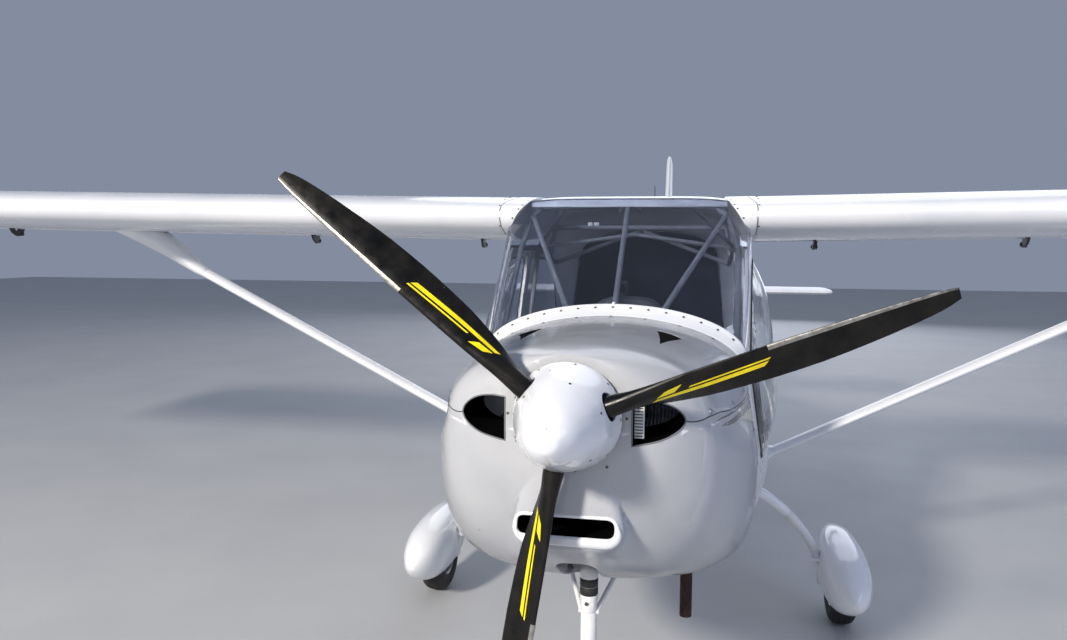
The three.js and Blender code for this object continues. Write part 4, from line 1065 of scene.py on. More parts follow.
BLADE_ROWS = [56, 80, 100, 118, 135, 150, 165, 180, 200, 220, 240, 260, 290, 320, 350, 390, 430, 470, 520,
              570, 620, 670, 715, 760, 795, 820, 838, 850, 857, 860]
GUARD_FROM, GUARD_TO, GUARD_SHARE = 470, 858, 0.115
STRIPES = (
    # Corners of each tape as radius and share of the chord: inner near and far, outer near and far.
    # The third is a short plain block.
    ((214, 0.52), (202, 0.64), (464, 0.405), (452, 0.525)),
    ((292, 0.375), (288, 0.42), (470, 0.315), (466, 0.36)),
    ((236, 0.27), (216, 0.45), (276, 0.22), (256, 0.42)),
)


def strip_on_blade(angle, corners):
    """A thin tape on a blade's front face."""
    inner_near, inner_far, outer_near, outer_far = np.array(corners)
    rows = []
    for t in np.linspace(0, 1, 24):
        near, far = inner_near + (outer_near - inner_near) * t, inner_far + (outer_far - inner_far) * t
        rows.append([blade_point(angle, *(near + (far - near) * v), True, 0.35) for v in (0, 0.5, 1)])
    return sheet(rows, 0.25, 0.0)


for number, angle in enumerate(BLADE_ANGLES, 1):
    blade = loft([blade_ring(angle, r) for r in BLADE_ROWS])
    show(blade, f"blade_{number}_carbon", CARBON, [f"blade_{number}"], crease=40,
         body="propeller")
    wrap = []
    for r in np.linspace(GUARD_FROM, GUARD_TO, 30):
        turn = GUARD_SHARE * (1 - np.cos(np.linspace(0, np.pi / 2, 7)))
        wrap.append([*(blade_point(angle, r, u, False, 0.5) for u in turn[::-1]),
                     *(blade_point(angle, r, u, True, 0.5) for u in turn[1:])])
    show(sheet(wrap, 0.5, 1.0), f"blade_{number}_guard", NICKEL, crease=50, body="propeller")
    tapes = [strip_on_blade(angle, corners) for corners in STRIPES]
    show(joined(tapes), f"blade_{number}_stripes", YELLOW_TAPE, body="propeller")
    ferrule = softened(sleeve(angle, 27.5, 58, 84), 1.5)
    show(ferrule, f"blade_{number}_ferrule", ALLOY, body="propeller")


# Cabin


DOOR_FRONT, DOOR_REAR, DOOR_BOTTOM, DOOR_TOP = 1078, 1925, 742, 1642
shoulder = lambda s: float(section(s)[4])
DOOR_CORNER, PANE_CORNER, ARC_STEPS = 46, 60, 6
DOOR = rounded([(DOOR_FRONT, DOOR_BOTTOM), (DOOR_REAR, DOOR_BOTTOM), (DOOR_REAR, DOOR_TOP), (1524, DOOR_TOP),
                (DOOR_FRONT, shoulder(DOOR_FRONT) - 6)], DOOR_CORNER, ARC_STEPS)
PANE = rounded([(DOOR_FRONT + 42, DOOR_BOTTOM + 190), (DOOR_REAR - 42, DOOR_BOTTOM + 170),
                (DOOR_REAR - 42, DOOR_TOP - 38), (1538, DOOR_TOP - 38),
                (DOOR_FRONT + 42, shoulder(DOOR_FRONT) - 38)], PANE_CORNER, ARC_STEPS)
REAR_WINDOW = rounded([(2010, 1090), (2640, 1130), (2700, 1230), (2560, 1500), (2400, 1585), (2010, 1600)],
                      PANE_CORNER, ARC_STEPS)
tub = tube_of_body(FIREWALL + 13, CABIN_END, 8)
doorway = rounded([(DOOR_FRONT - 8, DOOR_BOTTOM - 10), (DOOR_REAR + 9, DOOR_BOTTOM - 10),
                   (DOOR_REAR + 9, 2050), (DOOR_FRONT - 8, 2050)], DOOR_CORNER, ARC_STEPS)
ABOVE_ALL = 2000
roof_line = [(1934, 1655), (2450, 1648), (2950, 1522), (2950, ABOVE_ALL), (1934, ABOVE_ALL)]
above_deck = [(DECK_END + 10, 742), (1300, 742), (1300, ABOVE_ALL), (DECK_END + 10, ABOVE_ALL)]
carved(tub, [across(outline) for outline in (doorway, REAR_WINDOW, roof_line, above_deck)])
show(tub, "cabin_skin", ALLOY_PAINT, ["cabin_tub"])

# Lining cloth inside the cabin: floor, sides behind the doors and the baggage wall
lining = tube_of_body(FIREWALL + 16, CABIN_END - 20, 4, 12)
carved(lining, [across(outline) for outline in (grown(doorway, 16), grown(REAR_WINDOW, 14), above_deck)])
wall_ring = whole_ring(CABIN_END - 30, 17)
back_wall = loft([wall_ring, wall_ring + (0, 5, 0)])
carved(lining, [block(-700, 700, 1000, 1936, 1100, 2100),
                block(-700, 700, 1900, ROOF_SPLIT + 30, 1640, 2100)])
show(joined([lining, back_wall]), "cabin_lining", LINING)


OFF_MIDDLE = 60


def panel(s0, s1, wall, outline, one_side=True, step=24):
    """A piece of the body's skin inside an outline seen from the side: its left part, or right across."""
    made = tube_of_body(s0, s1, wall, 0.0, step)
    low = OFF_MIDDLE if one_side else -BEYOND
    return carved(made, [prism(outline, "x", low, BEYOND)], "INTERSECT")


def seal(outline, width, height, lift=0.0):
    """A rubber strip on the left flank along an outline seen from the side."""
    return bead([skin_side(s, z, 1, lift) for s, z in outline], width, height)


both(panel(1990, 2730, 4, grown(REAR_WINDOW, -1)), "rear_pane", CLEAR,
     ["rear_window_left"])
both(seal(REAR_WINDOW, 14, 3.2), "rear_pane_seal", SEAL, crease=60)


def cover(s0, s1, wall, lower_edge, name, look, stands_for):
    """A panel right across the body above a line seen from the side."""
    outline = [*lower_edge, (lower_edge[-1][0], ABOVE_ALL), (lower_edge[0][0], ABOVE_ALL)]
    show(panel(s0, s1, wall, outline, False), name, look, [stands_for])


cover(DECK_END, SCREEN_TOP + 2, 3, [(DECK_END + 2, shoulder(DECK_END) + 4), (SCREEN_TOP, 1662)],
      "windscreen_sheet", TINTED, "windscreen")
cover(SCREEN_TOP + 3, ROOF_SPLIT, 3, [(SCREEN_TOP, 1775), (ROOF_SPLIT, 1775)],
      "roof_sheet", TINTED, "roof_glass")
cover(ROOF_SPLIT + 1, CABIN_END, 6, [(ROOF_SPLIT + 1, 1657), (2450, 1650), (CABIN_END, 1526)],
      "rear_roof_skin", GELCOAT, "roof_fairing")

# Pale strip that joins the windscreen to the roof sheet, just inside the glass
strip_x = np.linspace(-382, 382, 33)
strip = [(x, float(skin_top(1553, x)[0][2]) - 7) for x in strip_x] + [(382, 1803), (-382, 1803)]
show(prism(strip, "s", 1550, 1556), "roof_front_strip", STRIP_GREY)

# Doors: a moulded frame with one blown pane that swells outwards
BLOWN = 52


def to_edge(outline, s, z):
    """Distance from a point to the nearest side of an outline."""
    p = np.asarray(outline, float)
    q = np.roll(p, -1, 0)
    spot = np.array([s, z])
    along = q - p
    t = np.clip(np.sum((spot - p) * along, 1) / np.maximum(np.sum(along * along, 1), 1e-9), 0, 1)
    return float(np.min(np.linalg.norm(p + along * t[:, None] - spot, axis=1)))


def blown(s, z):
    """How far the blown pane stands out of the body's line."""
    t = min(1.0, max(0.0, to_edge(PANE, s, z) - 4) / 250)
    return BLOWN * (1 - (1 - t) ** 2.6)


frame_panel = carved(panel(DOOR_FRONT - 5, DOOR_REAR + 5, 16, DOOR), [prism(PANE, "x", OFF_MIDDLE, BEYOND)])
both(frame_panel, "door_shell", LEG_PAINT, ["door_frame_left"], body="door_left")

pane = panel(DOOR_FRONT - 5, DOOR_REAR + 5, 3.5, grown(PANE, 3), step=20)
for vertex in pane.data.vertices:
    s, z = vertex.co.y * 1000 + MID_STATION, vertex.co.z * 1000
    out = skin_side(s, z)[1]
    vertex.co += Vector(out * blown(s, z) / 1000)
both(pane, "door_pane_blown", CLEAR, ["door_pane_left"], body="door_left")
both(seal(PANE, 16, 4), "door_pane_seal", SEAL, crease=60, body="door_left")
both(seal(grown(DOOR, 5), 9, 1.6, -3), "door_gap_seal", SEAL, crease=60)

# Windscreen pillars: pale strips between the glass and the doors
pillar_rows = []
for s in stations(DECK_END + 4, SCREEN_TOP - 4, 40):
    z = shoulder(s)
    pillar_rows.append([skin_side(s, z + up, 1, lift)[0] for up, lift in (
        (-6, 0), (-6, 2.5), (6, 4), (22, 4), (34, 2.5), (34, 0), (34, -6), (14, -8), (-6, -6))])
both(loft(pillar_rows), "windscreen_pillar", LEG_PAINT)


# Welded tubes inside the cabin
def rod(a, b, r=11, sides=18):
    return swept([a, (np.asarray(a) + np.asarray(b)) / 2, b], r, sides)


TUBES = (
    # from, to, radius
    ((418, 1054, 1190), (430, 1575, 1640), 11), ((430, 1575, 1640), (430, 1945, 1640), 11),
    ((430, 1945, 1640), (512, 1945, 900), 11), ((512, 1945, 900), (512, 1945, 760), 11),
    ((430, 1945, 1640), (415, 2330, 1566), 11), ((430, 1575, 1640), (378, 1556, 1770), 11),
    ((378, 1556, 1770), (345, 1590, 1800), 11), ((345, 1590, 1800), (0, 1590, 1815), 12),
    ((164, 1104, 1428), (378, 1556, 1770), 10), ((164, 1104, 1428), (0, 1094, 1434), 10),
    ((250, 1590, 1803), (430, 1945, 1640), 9), ((430, 1945, 1640), (0, 1945, 1700), 9),
    ((415, 2330, 1566), (0, 2330, 1722), 10), ((421, 2180, 1595), (392, 2180, 1734), 11),
    ((392, 2180, 1734), (0, 2180, 1734), 12),
)
rods = []
for k in (1, -1):
    for a, b, r in TUBES:
        rods.append(rod(np.multiply(a, (k, 1, 1)), np.multiply(b, (k, 1, 1)), r))
rods += [rod((0, 1945, 1700), (0, 2330, 1722)), rod((0, 1094, 1434), (0, 1590, 1815), 10),
         rod((0, 1590, 1815), (40, 1680, 1792), 8), rod((0, 1590, 1815), (-40, 1680, 1792), 8)]
show(joined(rods), "cabin_tubes", TUBE_GREY, ["cabin_frame"])
clips = [softened(block(x - 12, x + 12, 2164, 2192, 1740, 1758), 3) for x in (-226, -198)]
show(joined(clips), "roof_clips", LEG_PAINT)

# Instrument panel: glare shield, face with dials, switches and knobs
shield = []
for s, x, z, drop in ((1078, 330, 1398, 60), (1110, 330, 1402, 60), (1180, 326, 1404, 62),
                      (1250, 318, 1396, 66), (1300, 306, 1378, 74), (1318, 296, 1360, 78),
                      (1322, 288, 1346, 80)):
    ring = [(x * math.cos(a), s, z - drop + drop * max(math.sin(a), 0) ** 0.6)
            for a in np.linspace(0, math.pi, 25)]
    shield.append([*ring, *[(px, ps, pz - 10) for px, ps, pz in ring[::-1]]])
show(loft(shield), "glare_shield", SHIELD_CLOTH, crease=50)
HOOD_X, HOOD_LOW = 35, 1388
hood = []
for s, half, top in ((1152, 66, 1414), (1160, 92, 1440), (1180, 113, 1460), (1210, 122, 1470),
                     (1260, 124, 1471), (1296, 122, 1466), (1306, 118, 1458)):
    turns = np.linspace(0, math.pi, 25)
    hood.append([(HOOD_X + half * math.copysign(abs(math.cos(a)) ** 0.7, math.cos(a)), s,
                  HOOD_LOW + (top - HOOD_LOW) * max(math.sin(a), 0) ** 0.6) for a in turns])
show(loft(hood), "instrument_hood", SHIELD_CLOTH, crease=50)
compass = joined([softened(block(-14, 31, 1242, 1282, 1466, 1525), 7),
                  turned([(19, 0), (19, 3), (16, 3), (16, 0), (19, 0)], (8.5, 1242, 1499), FORWARD, 28)])
show(compass, "compass_case", CRACKLE, crease=40)
show(turned([(0, 0), (16, 0), (15, 4), (10, 9), (0, 12)], (8.5, 1243, 1499), FORWARD, 28), "compass_dome",
     CARBON)
FACE_S = 1302
face_outline = rounded([(-262, 1330), (-262, 1170), (-190, 1060), (190, 1060), (262, 1170), (262, 1330)], 30)
show(softened(prism(face_outline, "s", FACE_S - 6, FACE_S), 2), "instrument_face", CRACKLE,
     ["instrument_panel"])
DIALS = (
    # x, height, radius
    (210, 1275, 38), (118, 1275, 38), (26, 1275, 38), (-66, 1275, 29), (-140, 1275, 29), (-210, 1275, 29),
    (165, 1188, 29), (90, 1188, 29), (15, 1188, 24), (-140, 1200, 29), (-205, 1200, 24),
)
bezels, dials, marks, needles = [], [], [], []
for x, z, r in DIALS:
    bezels.append(turned([(r, 0), (r + 5, 0), (r + 5, 4), (r + 2, 7), (r - 1, 7), (r - 1, 0), (r, 0)],
                         (x, FACE_S, z), AFT, 36))
    dials.append(drum(r, 0, 2, (x, FACE_S, z), AFT, 36))
    for i in range(11):
        a = math.radians(-120 + 24 * i)
        u, v = math.sin(a), math.cos(a)
        marks.append(prism([(x + u * r * 0.78 - v * 0.6, z + v * r * 0.78 + u * 0.6),
                            (x + u * r * 0.78 + v * 0.6, z + v * r * 0.78 - u * 0.6),
                            (x + u * r * 0.94 + v * 0.6, z + v * r * 0.94 - u * 0.6),
                            (x + u * r * 0.94 - v * 0.6, z + v * r * 0.94 + u * 0.6)], "s", FACE_S + 2,
                           FACE_S + 2.5))
    a = math.radians((x * 7 + z * 3) % 200 - 100)
    u, v = math.sin(a), math.cos(a)
    needles.append(prism([(x - v * 1.6, z + u * 1.6), (x + v * 1.6, z - u * 1.6),
                          (x + u * r * 0.8, z + v * r * 0.8)], "s", FACE_S + 2.6, FACE_S + 3.4))
show(joined(bezels), "dial_bezels", ALLOY)
show(joined(dials), "dial_faces", DIAL)
show(joined(marks + needles), "dial_marks", MARK)
KNOB = [(0, 0), (3, 0), (3, 10), (7, 12), (8, 20), (6, 24), (0, 25)]
SWITCH = [(0, 0), (5, 0), (5, 3), (1.6, 4), (2.6, 14), (0, 15)]
knobs = [turned(KNOB, (x, FACE_S, 1120 - 4 * (i % 2)), AFT, 16)
         for i, x in enumerate((-60, -30, 0, 30, 60, 90))]
knobs += [turned(SWITCH, (x, FACE_S, 1158), (0, 1, 0.35), 12) for x in np.arange(-250, -150, 22)]
show(joined(knobs), "panel_knobs", BLOCK_RUBBER)

# Control column between the seats, with its two-handed grip
STICK = [(0, 1440, 590), (0, 1440, 700), (0, 1432, 800), (0, 1412, 900), (0, 1400, 960)]
GRIP_BAR = [(-150, 1392, 1010), (-90, 1398, 985), (0, 1400, 965), (90, 1398, 985), (150, 1392, 1010)]
stick = swept(through(STICK), 12, 18)
bar_top = swept(through(GRIP_BAR), 9, 14)
show(joined([stick, bar_top]), "column_tubes", TUBE_GREY, ["control_column"])
grips = []
for k in (1, -1):
    line = through([(k * 150, 1392, 1008), (k * 156, 1388, 1050), (k * 158, 1380, 1120)], 6)
    grips.append(swept(line, [15 + 2 * math.sin(i * 0.9) for i in range(len(line))], 16))
show(joined(grips), "column_grips", BLOCK_RUBBER, crease=60)
boot = turned([(44, 0), (40, 12), (28, 30), (30, 38), (20, 54), (22, 60), (14, 74), (12.5, 74), (12.5, 0),
               (44, 0)],
              (0, 1440, 580), UP, 32)
show(boot, "column_boot", BLOCK_RUBBER, crease=60)


# Seats: a moulded pan with two padded cushions each
def cushion(rows, crown):
    """A crowned pad. Each row is a line across it: its ends in x, the station and height of its top, and how
    far its underside lies from there in station and height."""
    count = 15
    rings = []
    for x0, x1, s, z, ds, dz in rows:
        shares = np.linspace(-1, 1, count)
        full = (1 - np.abs(shares) ** 3.2)
        middle, half = (x0 + x1) / 2, (x1 - x0) / 2
        top = [(middle + half * u, s - ds * crown * f, z - dz * crown * f) for u, f in zip(shares, full)]
        under = [(middle + half * u * 0.97, s + ds, z + dz) for u in shares[::-1]]
        rings.append(top + under)
    return loft(rings)


PAD_VOXEL_M = 0.009
PAD_PRESSURE = 4
LARGEST_MOVE_M = 0.02
CLOTH_FRAMES = 20


def padded_by_cloth(obj):
    """Swells a pad as stuffed cloth does: remeshed, blown up, and held to a largest move."""
    shape = obj.modifiers.new("voxels", "REMESH")
    shape.mode = "VOXEL"
    shape.voxel_size = PAD_VOXEL_M
    baked(obj)
    start = np.array([v.co for v in obj.data.vertices])
    cloth = obj.modifiers.new("cloth", "CLOTH")
    cloth.settings.quality = 5
    cloth.settings.mass = 0.3
    cloth.settings.tension_stiffness = 12
    cloth.settings.compression_stiffness = 12
    cloth.settings.use_pressure = True
    cloth.settings.uniform_pressure_force = PAD_PRESSURE
    cloth.settings.effector_weights.gravity = 0
    for step in range(CLOTH_FRAMES):
        bpy.context.scene.frame_set(step + 1)
    baked(obj)
    bpy.context.scene.frame_set(1)
    end = np.array([v.co for v in obj.data.vertices])
    move = end - start
    length = np.maximum(np.linalg.norm(move, axis=1, keepdims=True), 1e-9)
    held = start + move * np.minimum(1, LARGEST_MOVE_M / length)
    obj.data.vertices.foreach_set("co", held.astype(np.float32).ravel())
    fine = obj.modifiers.new("fine", "SUBSURF")
    fine.levels = fine.render_levels = 1
    return baked(obj)


SEAT_X0, SEAT_X1 = 38, 442
base_rows = []
for t in np.linspace(0, 1, 12):
    s, z = 1520 + 430 * t, 842 - 52 * t
    lean = 1 - max(0, abs(t - 0.5) * 2 - 0.78) * 0.9
    base_rows.append((SEAT_X0 + 8, SEAT_X1 - 8, s, z - 12 - (1 - lean) * 60, 4, -70 * lean))
back_rows = []
for t in np.linspace(0, 1, 13):
    s, z = 1985 + 178 * t, 815 + 455 * t
    lean = 1 - max(0, abs(t - 0.5) * 2 - 0.8) * 1.0
    half = 1 - 0.18 * max(0, t - 0.55) / 0.45
    middle, width = (SEAT_X0 + SEAT_X1) / 2, (SEAT_X1 - SEAT_X0) / 2 - 8
    back_rows.append((middle - width * half, middle + width * half, s + (1 - lean) * 34, z,
                      52 * lean, -18 * lean))
for rows, part in ((base_rows, "base"), (back_rows, "back")):
    pad = padded_by_cloth(cushion(rows, 0.16))
    nodes_stood_for = ["seat_left"] if part == "base" else []
    for made in both(pad, f"seat_{part}_pad", SEAT_CLOTH, nodes_stood_for, crease=80):
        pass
PAN_LINE = ((1506, 758), (1530, 745), (1740, 722), (1950, 700), (1990, 706), (2035, 760), (2110, 960),
            (2190, 1160), (2232, 1262), (2236, 1274))
pan = []
for x in np.linspace(SEAT_X0 - 4, SEAT_X1 + 4, 12):
    lip = 18 if x < SEAT_X0 + 4 or x > SEAT_X1 - 4 else 0
    pan.append([(x, s, z + lip) for s, z in PAN_LINE])
both(sheet(pan, 4), "seat_pan", LEG_PAINT)
seat_feet = []
for x in (80, 400):
    for s, z in ((1560, 744), (1900, 706)):
        floor = half_ring(s, 16)
        seat_feet.append(rod((x, s, float(np.interp(x, floor[:19, 0], floor[:19, 2])) - 4), (x, s + 6, z), 9))
both(joined(seat_feet), "seat_legs", TUBE_GREY)
belts = []
BELT_OUT = np.array([0, -0.92, 0.38])
for x in (110, 370):
    line = through([(x, 2236, 1270), (x, 2180, 1292), (x + (240 - x) * 0.12, 2120, 1180),
                    (x + (240 - x) * 0.3, 2030, 1000), (x + (240 - x) * 0.6, 1985, 880)], 8)
    belts.append(bead([(spot + BELT_OUT * 4, BELT_OUT) for spot in line], 46, 2.2, closed=False))
both(joined(belts), "shoulder_belts", WEBBING, crease=60)

# Engine: block, cylinder heads with cooling fins, seen through the inlets and the outlet
engine = softened(block(-150, 150, 330, 880, 990, 1290), 18, 3)
CYLINDERS = [(k, s) for k in (1, -1) for s in (420, 640)]
CYLINDER_Z = 1120
HEAD = [(0, 0), (62, 0), (62, 92), (40, 110), (0, 110)]
heads = [engine, *(turned(HEAD, (k * 148, s, CYLINDER_Z), (k, 0, 0.05), 32) for k, s in CYLINDERS)]
gear_case = turned([(0, 0), (48, 0), (60, 12), (72, 60), (76, 180), (90, 262), (0, 270)], (0, 72, HUB_Z),
                   AFT, 40)
heads.append(gear_case)
for k in (1, -1):
    for z in (1000, 1280):
        heads.append(rod((k * 150, 860, z), (k * 262, FIREWALL - 2, z), 11))
show(joined(heads), "engine_castings", CASTING, ["engine_block"])
fins = [drum(78, 0, 2.4, (k * x, s, CYLINDER_Z), (k, 0, 0.05), 28)
        for k, s in CYLINDERS for x in range(156, 237, 10)]
show(joined(fins), "cylinder_fins", ALLOY)
wall = loft([whole_ring(FIREWALL, 3, at=FIREWALL), whole_ring(FIREWALL + 8, 3, at=FIREWALL + 8)])
show(wall, "firewall_sheet", STAINLESS, ["firewall"])

# Exhaust: a browned pipe with a clamp, open at its end
pipe_line = through([(226, 800, 946), (236, 850, 880), (256, 930, 820), (265, 962, 760), (265, 962, 640),
                     (265, 962, 428)], 8)
pipe = swept(pipe_line, 20, 32)
carved(pipe, [turned([(0, 0), (18, 0), (18, 154), (0, 159)], (265, 962, 421), UP, 32)])
show(pipe, "exhaust_tail_pipe", HOT_STEEL, ["exhaust_pipe"])
clamp = turned([(20, 0), (23, 0), (23, 14), (20, 14), (20, 0)], (265, 962, 652), UP, 32)
show(clamp, "exhaust_clamp", ALLOY)


# Wings


# The wing's section, from its lower side aft round the nose to its upper side aft, as station and height.
# The cove ahead of the flaperon closes it.
WING_SKIN = through([(978, -72), (820, -83), (600, -92), (420, -95), (250, -89), (130, -75), (60, -58),
                     (20, -34), (0, 0), (12, 22), (40, 40), (90, 57), (170, 71), (290, 81), (420, 84),
                     (600, 81), (780, 69), (940, 50), (1060, 29)], 5)
WING_SECTION = np.concatenate([WING_SKIN, [(1059, 25), (1058, 20), (1020, 21.5), (980, 23), (979, -20)]])
wing_nose = int(np.argmin(WING_SKIN[:, 0]))
WING_SIDES = {True: WING_SKIN[wing_nose:], False: WING_SKIN[wing_nose::-1]}
WING_CHORD = 1060
TIP_FROM = 4780
TIP_ROWS = [TIP_FROM, 4860, 4920, 4965, 5000, 5022, 5040, 5047, 5050]
TIP = (
    # x, share of the chord, move aft, share of the thickness
    (WING_ROOT_X, 1, 0, 1), (TIP_FROM, 1, 0, 1), (4920, 0.985, 12, 0.92), (5000, 0.95, 45, 0.7),
    (5040, 0.9, 90, 0.42), (5050, 0.85, 130, 0.15),
)
tip_at = curves(TIP)
wing_rise = lambda x: (abs(x) - WING_ROOT_X) * DIHEDRAL


def wing_ring(x, grow=0.0):
    chord, back, thin = (float(f(x)) for f in tip_at)
    flat = grown(WING_SECTION, grow) if grow else WING_SECTION
    return [(x, WING_LE + back + s * chord, WING_ROOT_Z + wing_rise(x) + 5 + (z - 5) * thin) for s, z in flat]


WING_FROM = 489.4
wing_rows = [*np.linspace(WING_FROM, TIP_FROM, 16)[:-1], *TIP_ROWS]
wing = loft([wing_ring(x) for x in wing_rows])
both(wing, "wing_skin", ALLOY_PAINT, ["wing_left"], crease=40)

# Root fairing: moulded over the wing's inner end, with a curved inner edge and screws along it
FAIRING_INNER = through([(477, 1600), (474, 1640), (470, 1668), (464, 1702), (424, 1768), (384, 1832),
                         (372, 1900)], 6)
fairing = loft([wing_ring(x, 1.5) for x in np.linspace(340, 488.6, 8)])
inner_space = [*FAIRING_INNER, *(FAIRING_INNER[::-1] * (-1, 1))]
carved(fairing, [prism(inner_space, "s", 1300, 2700), block(200, 486, 1300, 2700, 1500, 1661.5)])
both(fairing, "root_fairing_skin", GELCOAT, ["root_fairing_left"], crease=40)


def wing_skin_point(x, share, upper, lift=0.0):
    """A point of the wing's skin at a share of its chord, and the way out."""
    part = WING_SIDES[upper]
    s = share * WING_CHORD
    before, z, behind = (float(np.interp(s + d, part[:, 0], part[:, 1])) for d in (-5, 0, 5))
    dz = (behind - before) / 10
    out = np.array([0, -dz, 1.0]) if upper else np.array([0, dz, -1.0])
    out /= np.linalg.norm(out)
    return np.array([x, WING_LE + s, WING_ROOT_Z + wing_rise(x) + z]) + out * lift, out


# The fairing's outer joint swells outwards round the leading edge
JOINT_NOSE_X, JOINT_X = 492, {True: 466, False: 477}
JOINT_TURN = {True: 0.11, False: 0.3}


def joint_spot(t, upper):
    x = JOINT_NOSE_X - (JOINT_NOSE_X - JOINT_X[upper]) * min(1.0, t / JOINT_TURN[upper]) ** 1.6
    return wing_skin_point(x, t, upper, 1.6)


joint_shares = np.concatenate([np.linspace(0.9, 0.32, 12), np.linspace(0.3, 0.03, 14), [0.015, 0.005]])
joint_run = [joint_spot(t, False) for t in joint_shares] + [joint_spot(t, True) for t in joint_shares[::-1]]
both(bead(joint_run, 2.2, 0.8, closed=False), "root_joint_line", SEAL, crease=60)
fairing_screws = []
for upper in (True, False):
    fairing_screws.append([wing_skin_point(497, t, upper, 0.2) for t in np.linspace(0.03, 0.9, 30)])
    fairing_screws.append([wing_skin_point(482, t, upper, 1.6) for t in np.linspace(0.32, 0.9, 20)])
# Screws along the fairing's curved inner edge, as share of the chord
inner_screws = []
for share, upper in ((0.089, True), (0.034, True), (0.011, True), (0.004, False)):
    spot, out = wing_skin_point(400, share, upper, 0)
    x = float(np.interp(spot[2], FAIRING_INNER[:, 1], FAIRING_INNER[:, 0])) + 9
    spot, out = wing_skin_point(x, share, upper, 1.2)
    inner_screws.append(screw(4.2, 3.4, 2.1, spot, out, 12))
both(joined(inner_screws), "root_inner_screws", SCREW)
mirror_lines = lambda lines: [[(mirrored(p), mirrored(o)) for p, o in line] for line in lines]
fasteners("root_fairing_screws", fairing_screws + mirror_lines(fairing_screws), SCREW, 92, 4.2,
          1.6, 10)
wing_rivets = []
for upper in (True, False):
    for share in (0.09, 0.27, 0.6, 0.86):
        wing_rivets.append([wing_skin_point(x, share, upper, 0.1) for x in np.linspace(520, 4760, 60)])
    for x in np.arange(870, 4700, 385):
        wing_rivets.append([wing_skin_point(x, t, upper, 0.1) for t in np.linspace(0.05, 0.9, 24)])
fasteners("wing_rivets", wing_rivets + mirror_lines(wing_rivets), RIVET, 46, 2.6, 0.9, 7)

# Flaperons on their black hinge plates
FLAP = [(2450, 1690), (2458, 1706), (2480, 1722), (2530, 1738), (2600, 1742), (2700, 1732), (2851, 1711)]
FLAP_UNDER = [(2851, 1707), (2700, 1697), (2600, 1684), (2500, 1672), (2465, 1674), (2450, 1690)]
FLAP_RING = np.concatenate([through(FLAP, 5), through(FLAP_UNDER, 5)[:-1]])
FLAP_IN, FLAP_OUT = 520, 4760
FLAP_HINGE_S, FLAP_MIDDLE_Z = 2480, 1705
BRACKETS_X = (808, 1730, 2650, 3570, 4490)


def flap_ring(x, share=1.0, up=0.0):
    ring = []
    for s, z in grown(FLAP_RING, up) if up else FLAP_RING:
        ring.append((x, FLAP_HINGE_S + (s - FLAP_HINGE_S) * (0.9 + 0.1 * share),
                     FLAP_MIDDLE_Z + (z - FLAP_MIDDLE_Z) * share + wing_rise(x)))
    return ring


flap_rows = [flap_ring(x) for x in np.linspace(FLAP_IN, FLAP_OUT - 34, 12)]
flap_rows += [flap_ring(FLAP_OUT - 20, 0.94), flap_ring(FLAP_OUT - 8, 0.82), flap_ring(FLAP_OUT, 0.6)]
both(loft(flap_rows), "flaperon_cloth", DOPED_CLOTH, ["flaperon_left"],
     crease=40, body="aileron_flap_left")
flap_tapes = []
for x in np.arange(640, 4700, 253):
    flap_tapes.append(loft([flap_ring(x - 10, 1, 0.15), flap_ring(x - 8, 1, 0.9), flap_ring(x + 8, 1, 0.9),
                            flap_ring(x + 10, 1, 0.15)]))
both(joined(flap_tapes), "flaperon_rib_tapes", DOPED_CLOTH, body="aileron_flap_left")
plates, lugs, bolts = [], [], []
for x in BRACKETS_X:
    rise = wing_rise(x)
    outline = rounded([(2380, 1692 + rise), (2424, 1704 + rise), (2428, 1664 + rise), (2492, 1657 + rise),
                       (2494, 1634 + rise), (2440, 1630 + rise), (2404, 1652 + rise)], 9)
    plates.append(softened(prism(outline, "x", x - 5, x + 5), 1, 1))
    lug = rounded([(2466, 1680 + rise), (2524, 1682 + rise), (2500, 1632 + rise), (2470, 1632 + rise)], 7)
    lugs.append(softened(prism(lug, "x", x + 12, x + 20), 1, 1))
    bolts.append(turned([(0, -9), (7, -9), (7, -5), (4, -5), (4, 24), (0, 24)],
                        (x, FLAP_HINGE_S, 1645 + rise), ACROSS, 12))
both(joined(plates), "flap_brackets", PLATE_BLACK)
both(joined(lugs), "flap_lugs", PLATE_BLACK, body="aileron_flap_left")
both(joined(bolts), "flap_bolts", SCREW)

# Struts: a thin streamlined bar that swells into a wide fairing under the wing
LENS_AHEAD = [(-0.5, 0), (-0.47, 0.14), (-0.38, 0.32), (-0.24, 0.45), (-0.08, 0.5), (0.1, 0.45), (0.26, 0.3),
              (0.4, 0.14), (0.5, 0.01)]
LENS = np.concatenate([through(LENS_AHEAD, 3), through([(a, -b) for a, b in LENS_AHEAD[::-1]], 3)[1:-1]])


def lens_ring(x, s, z, chord, thick_mm):
    return [(x, s + a * chord, z + b * thick_mm) for a, b in LENS]


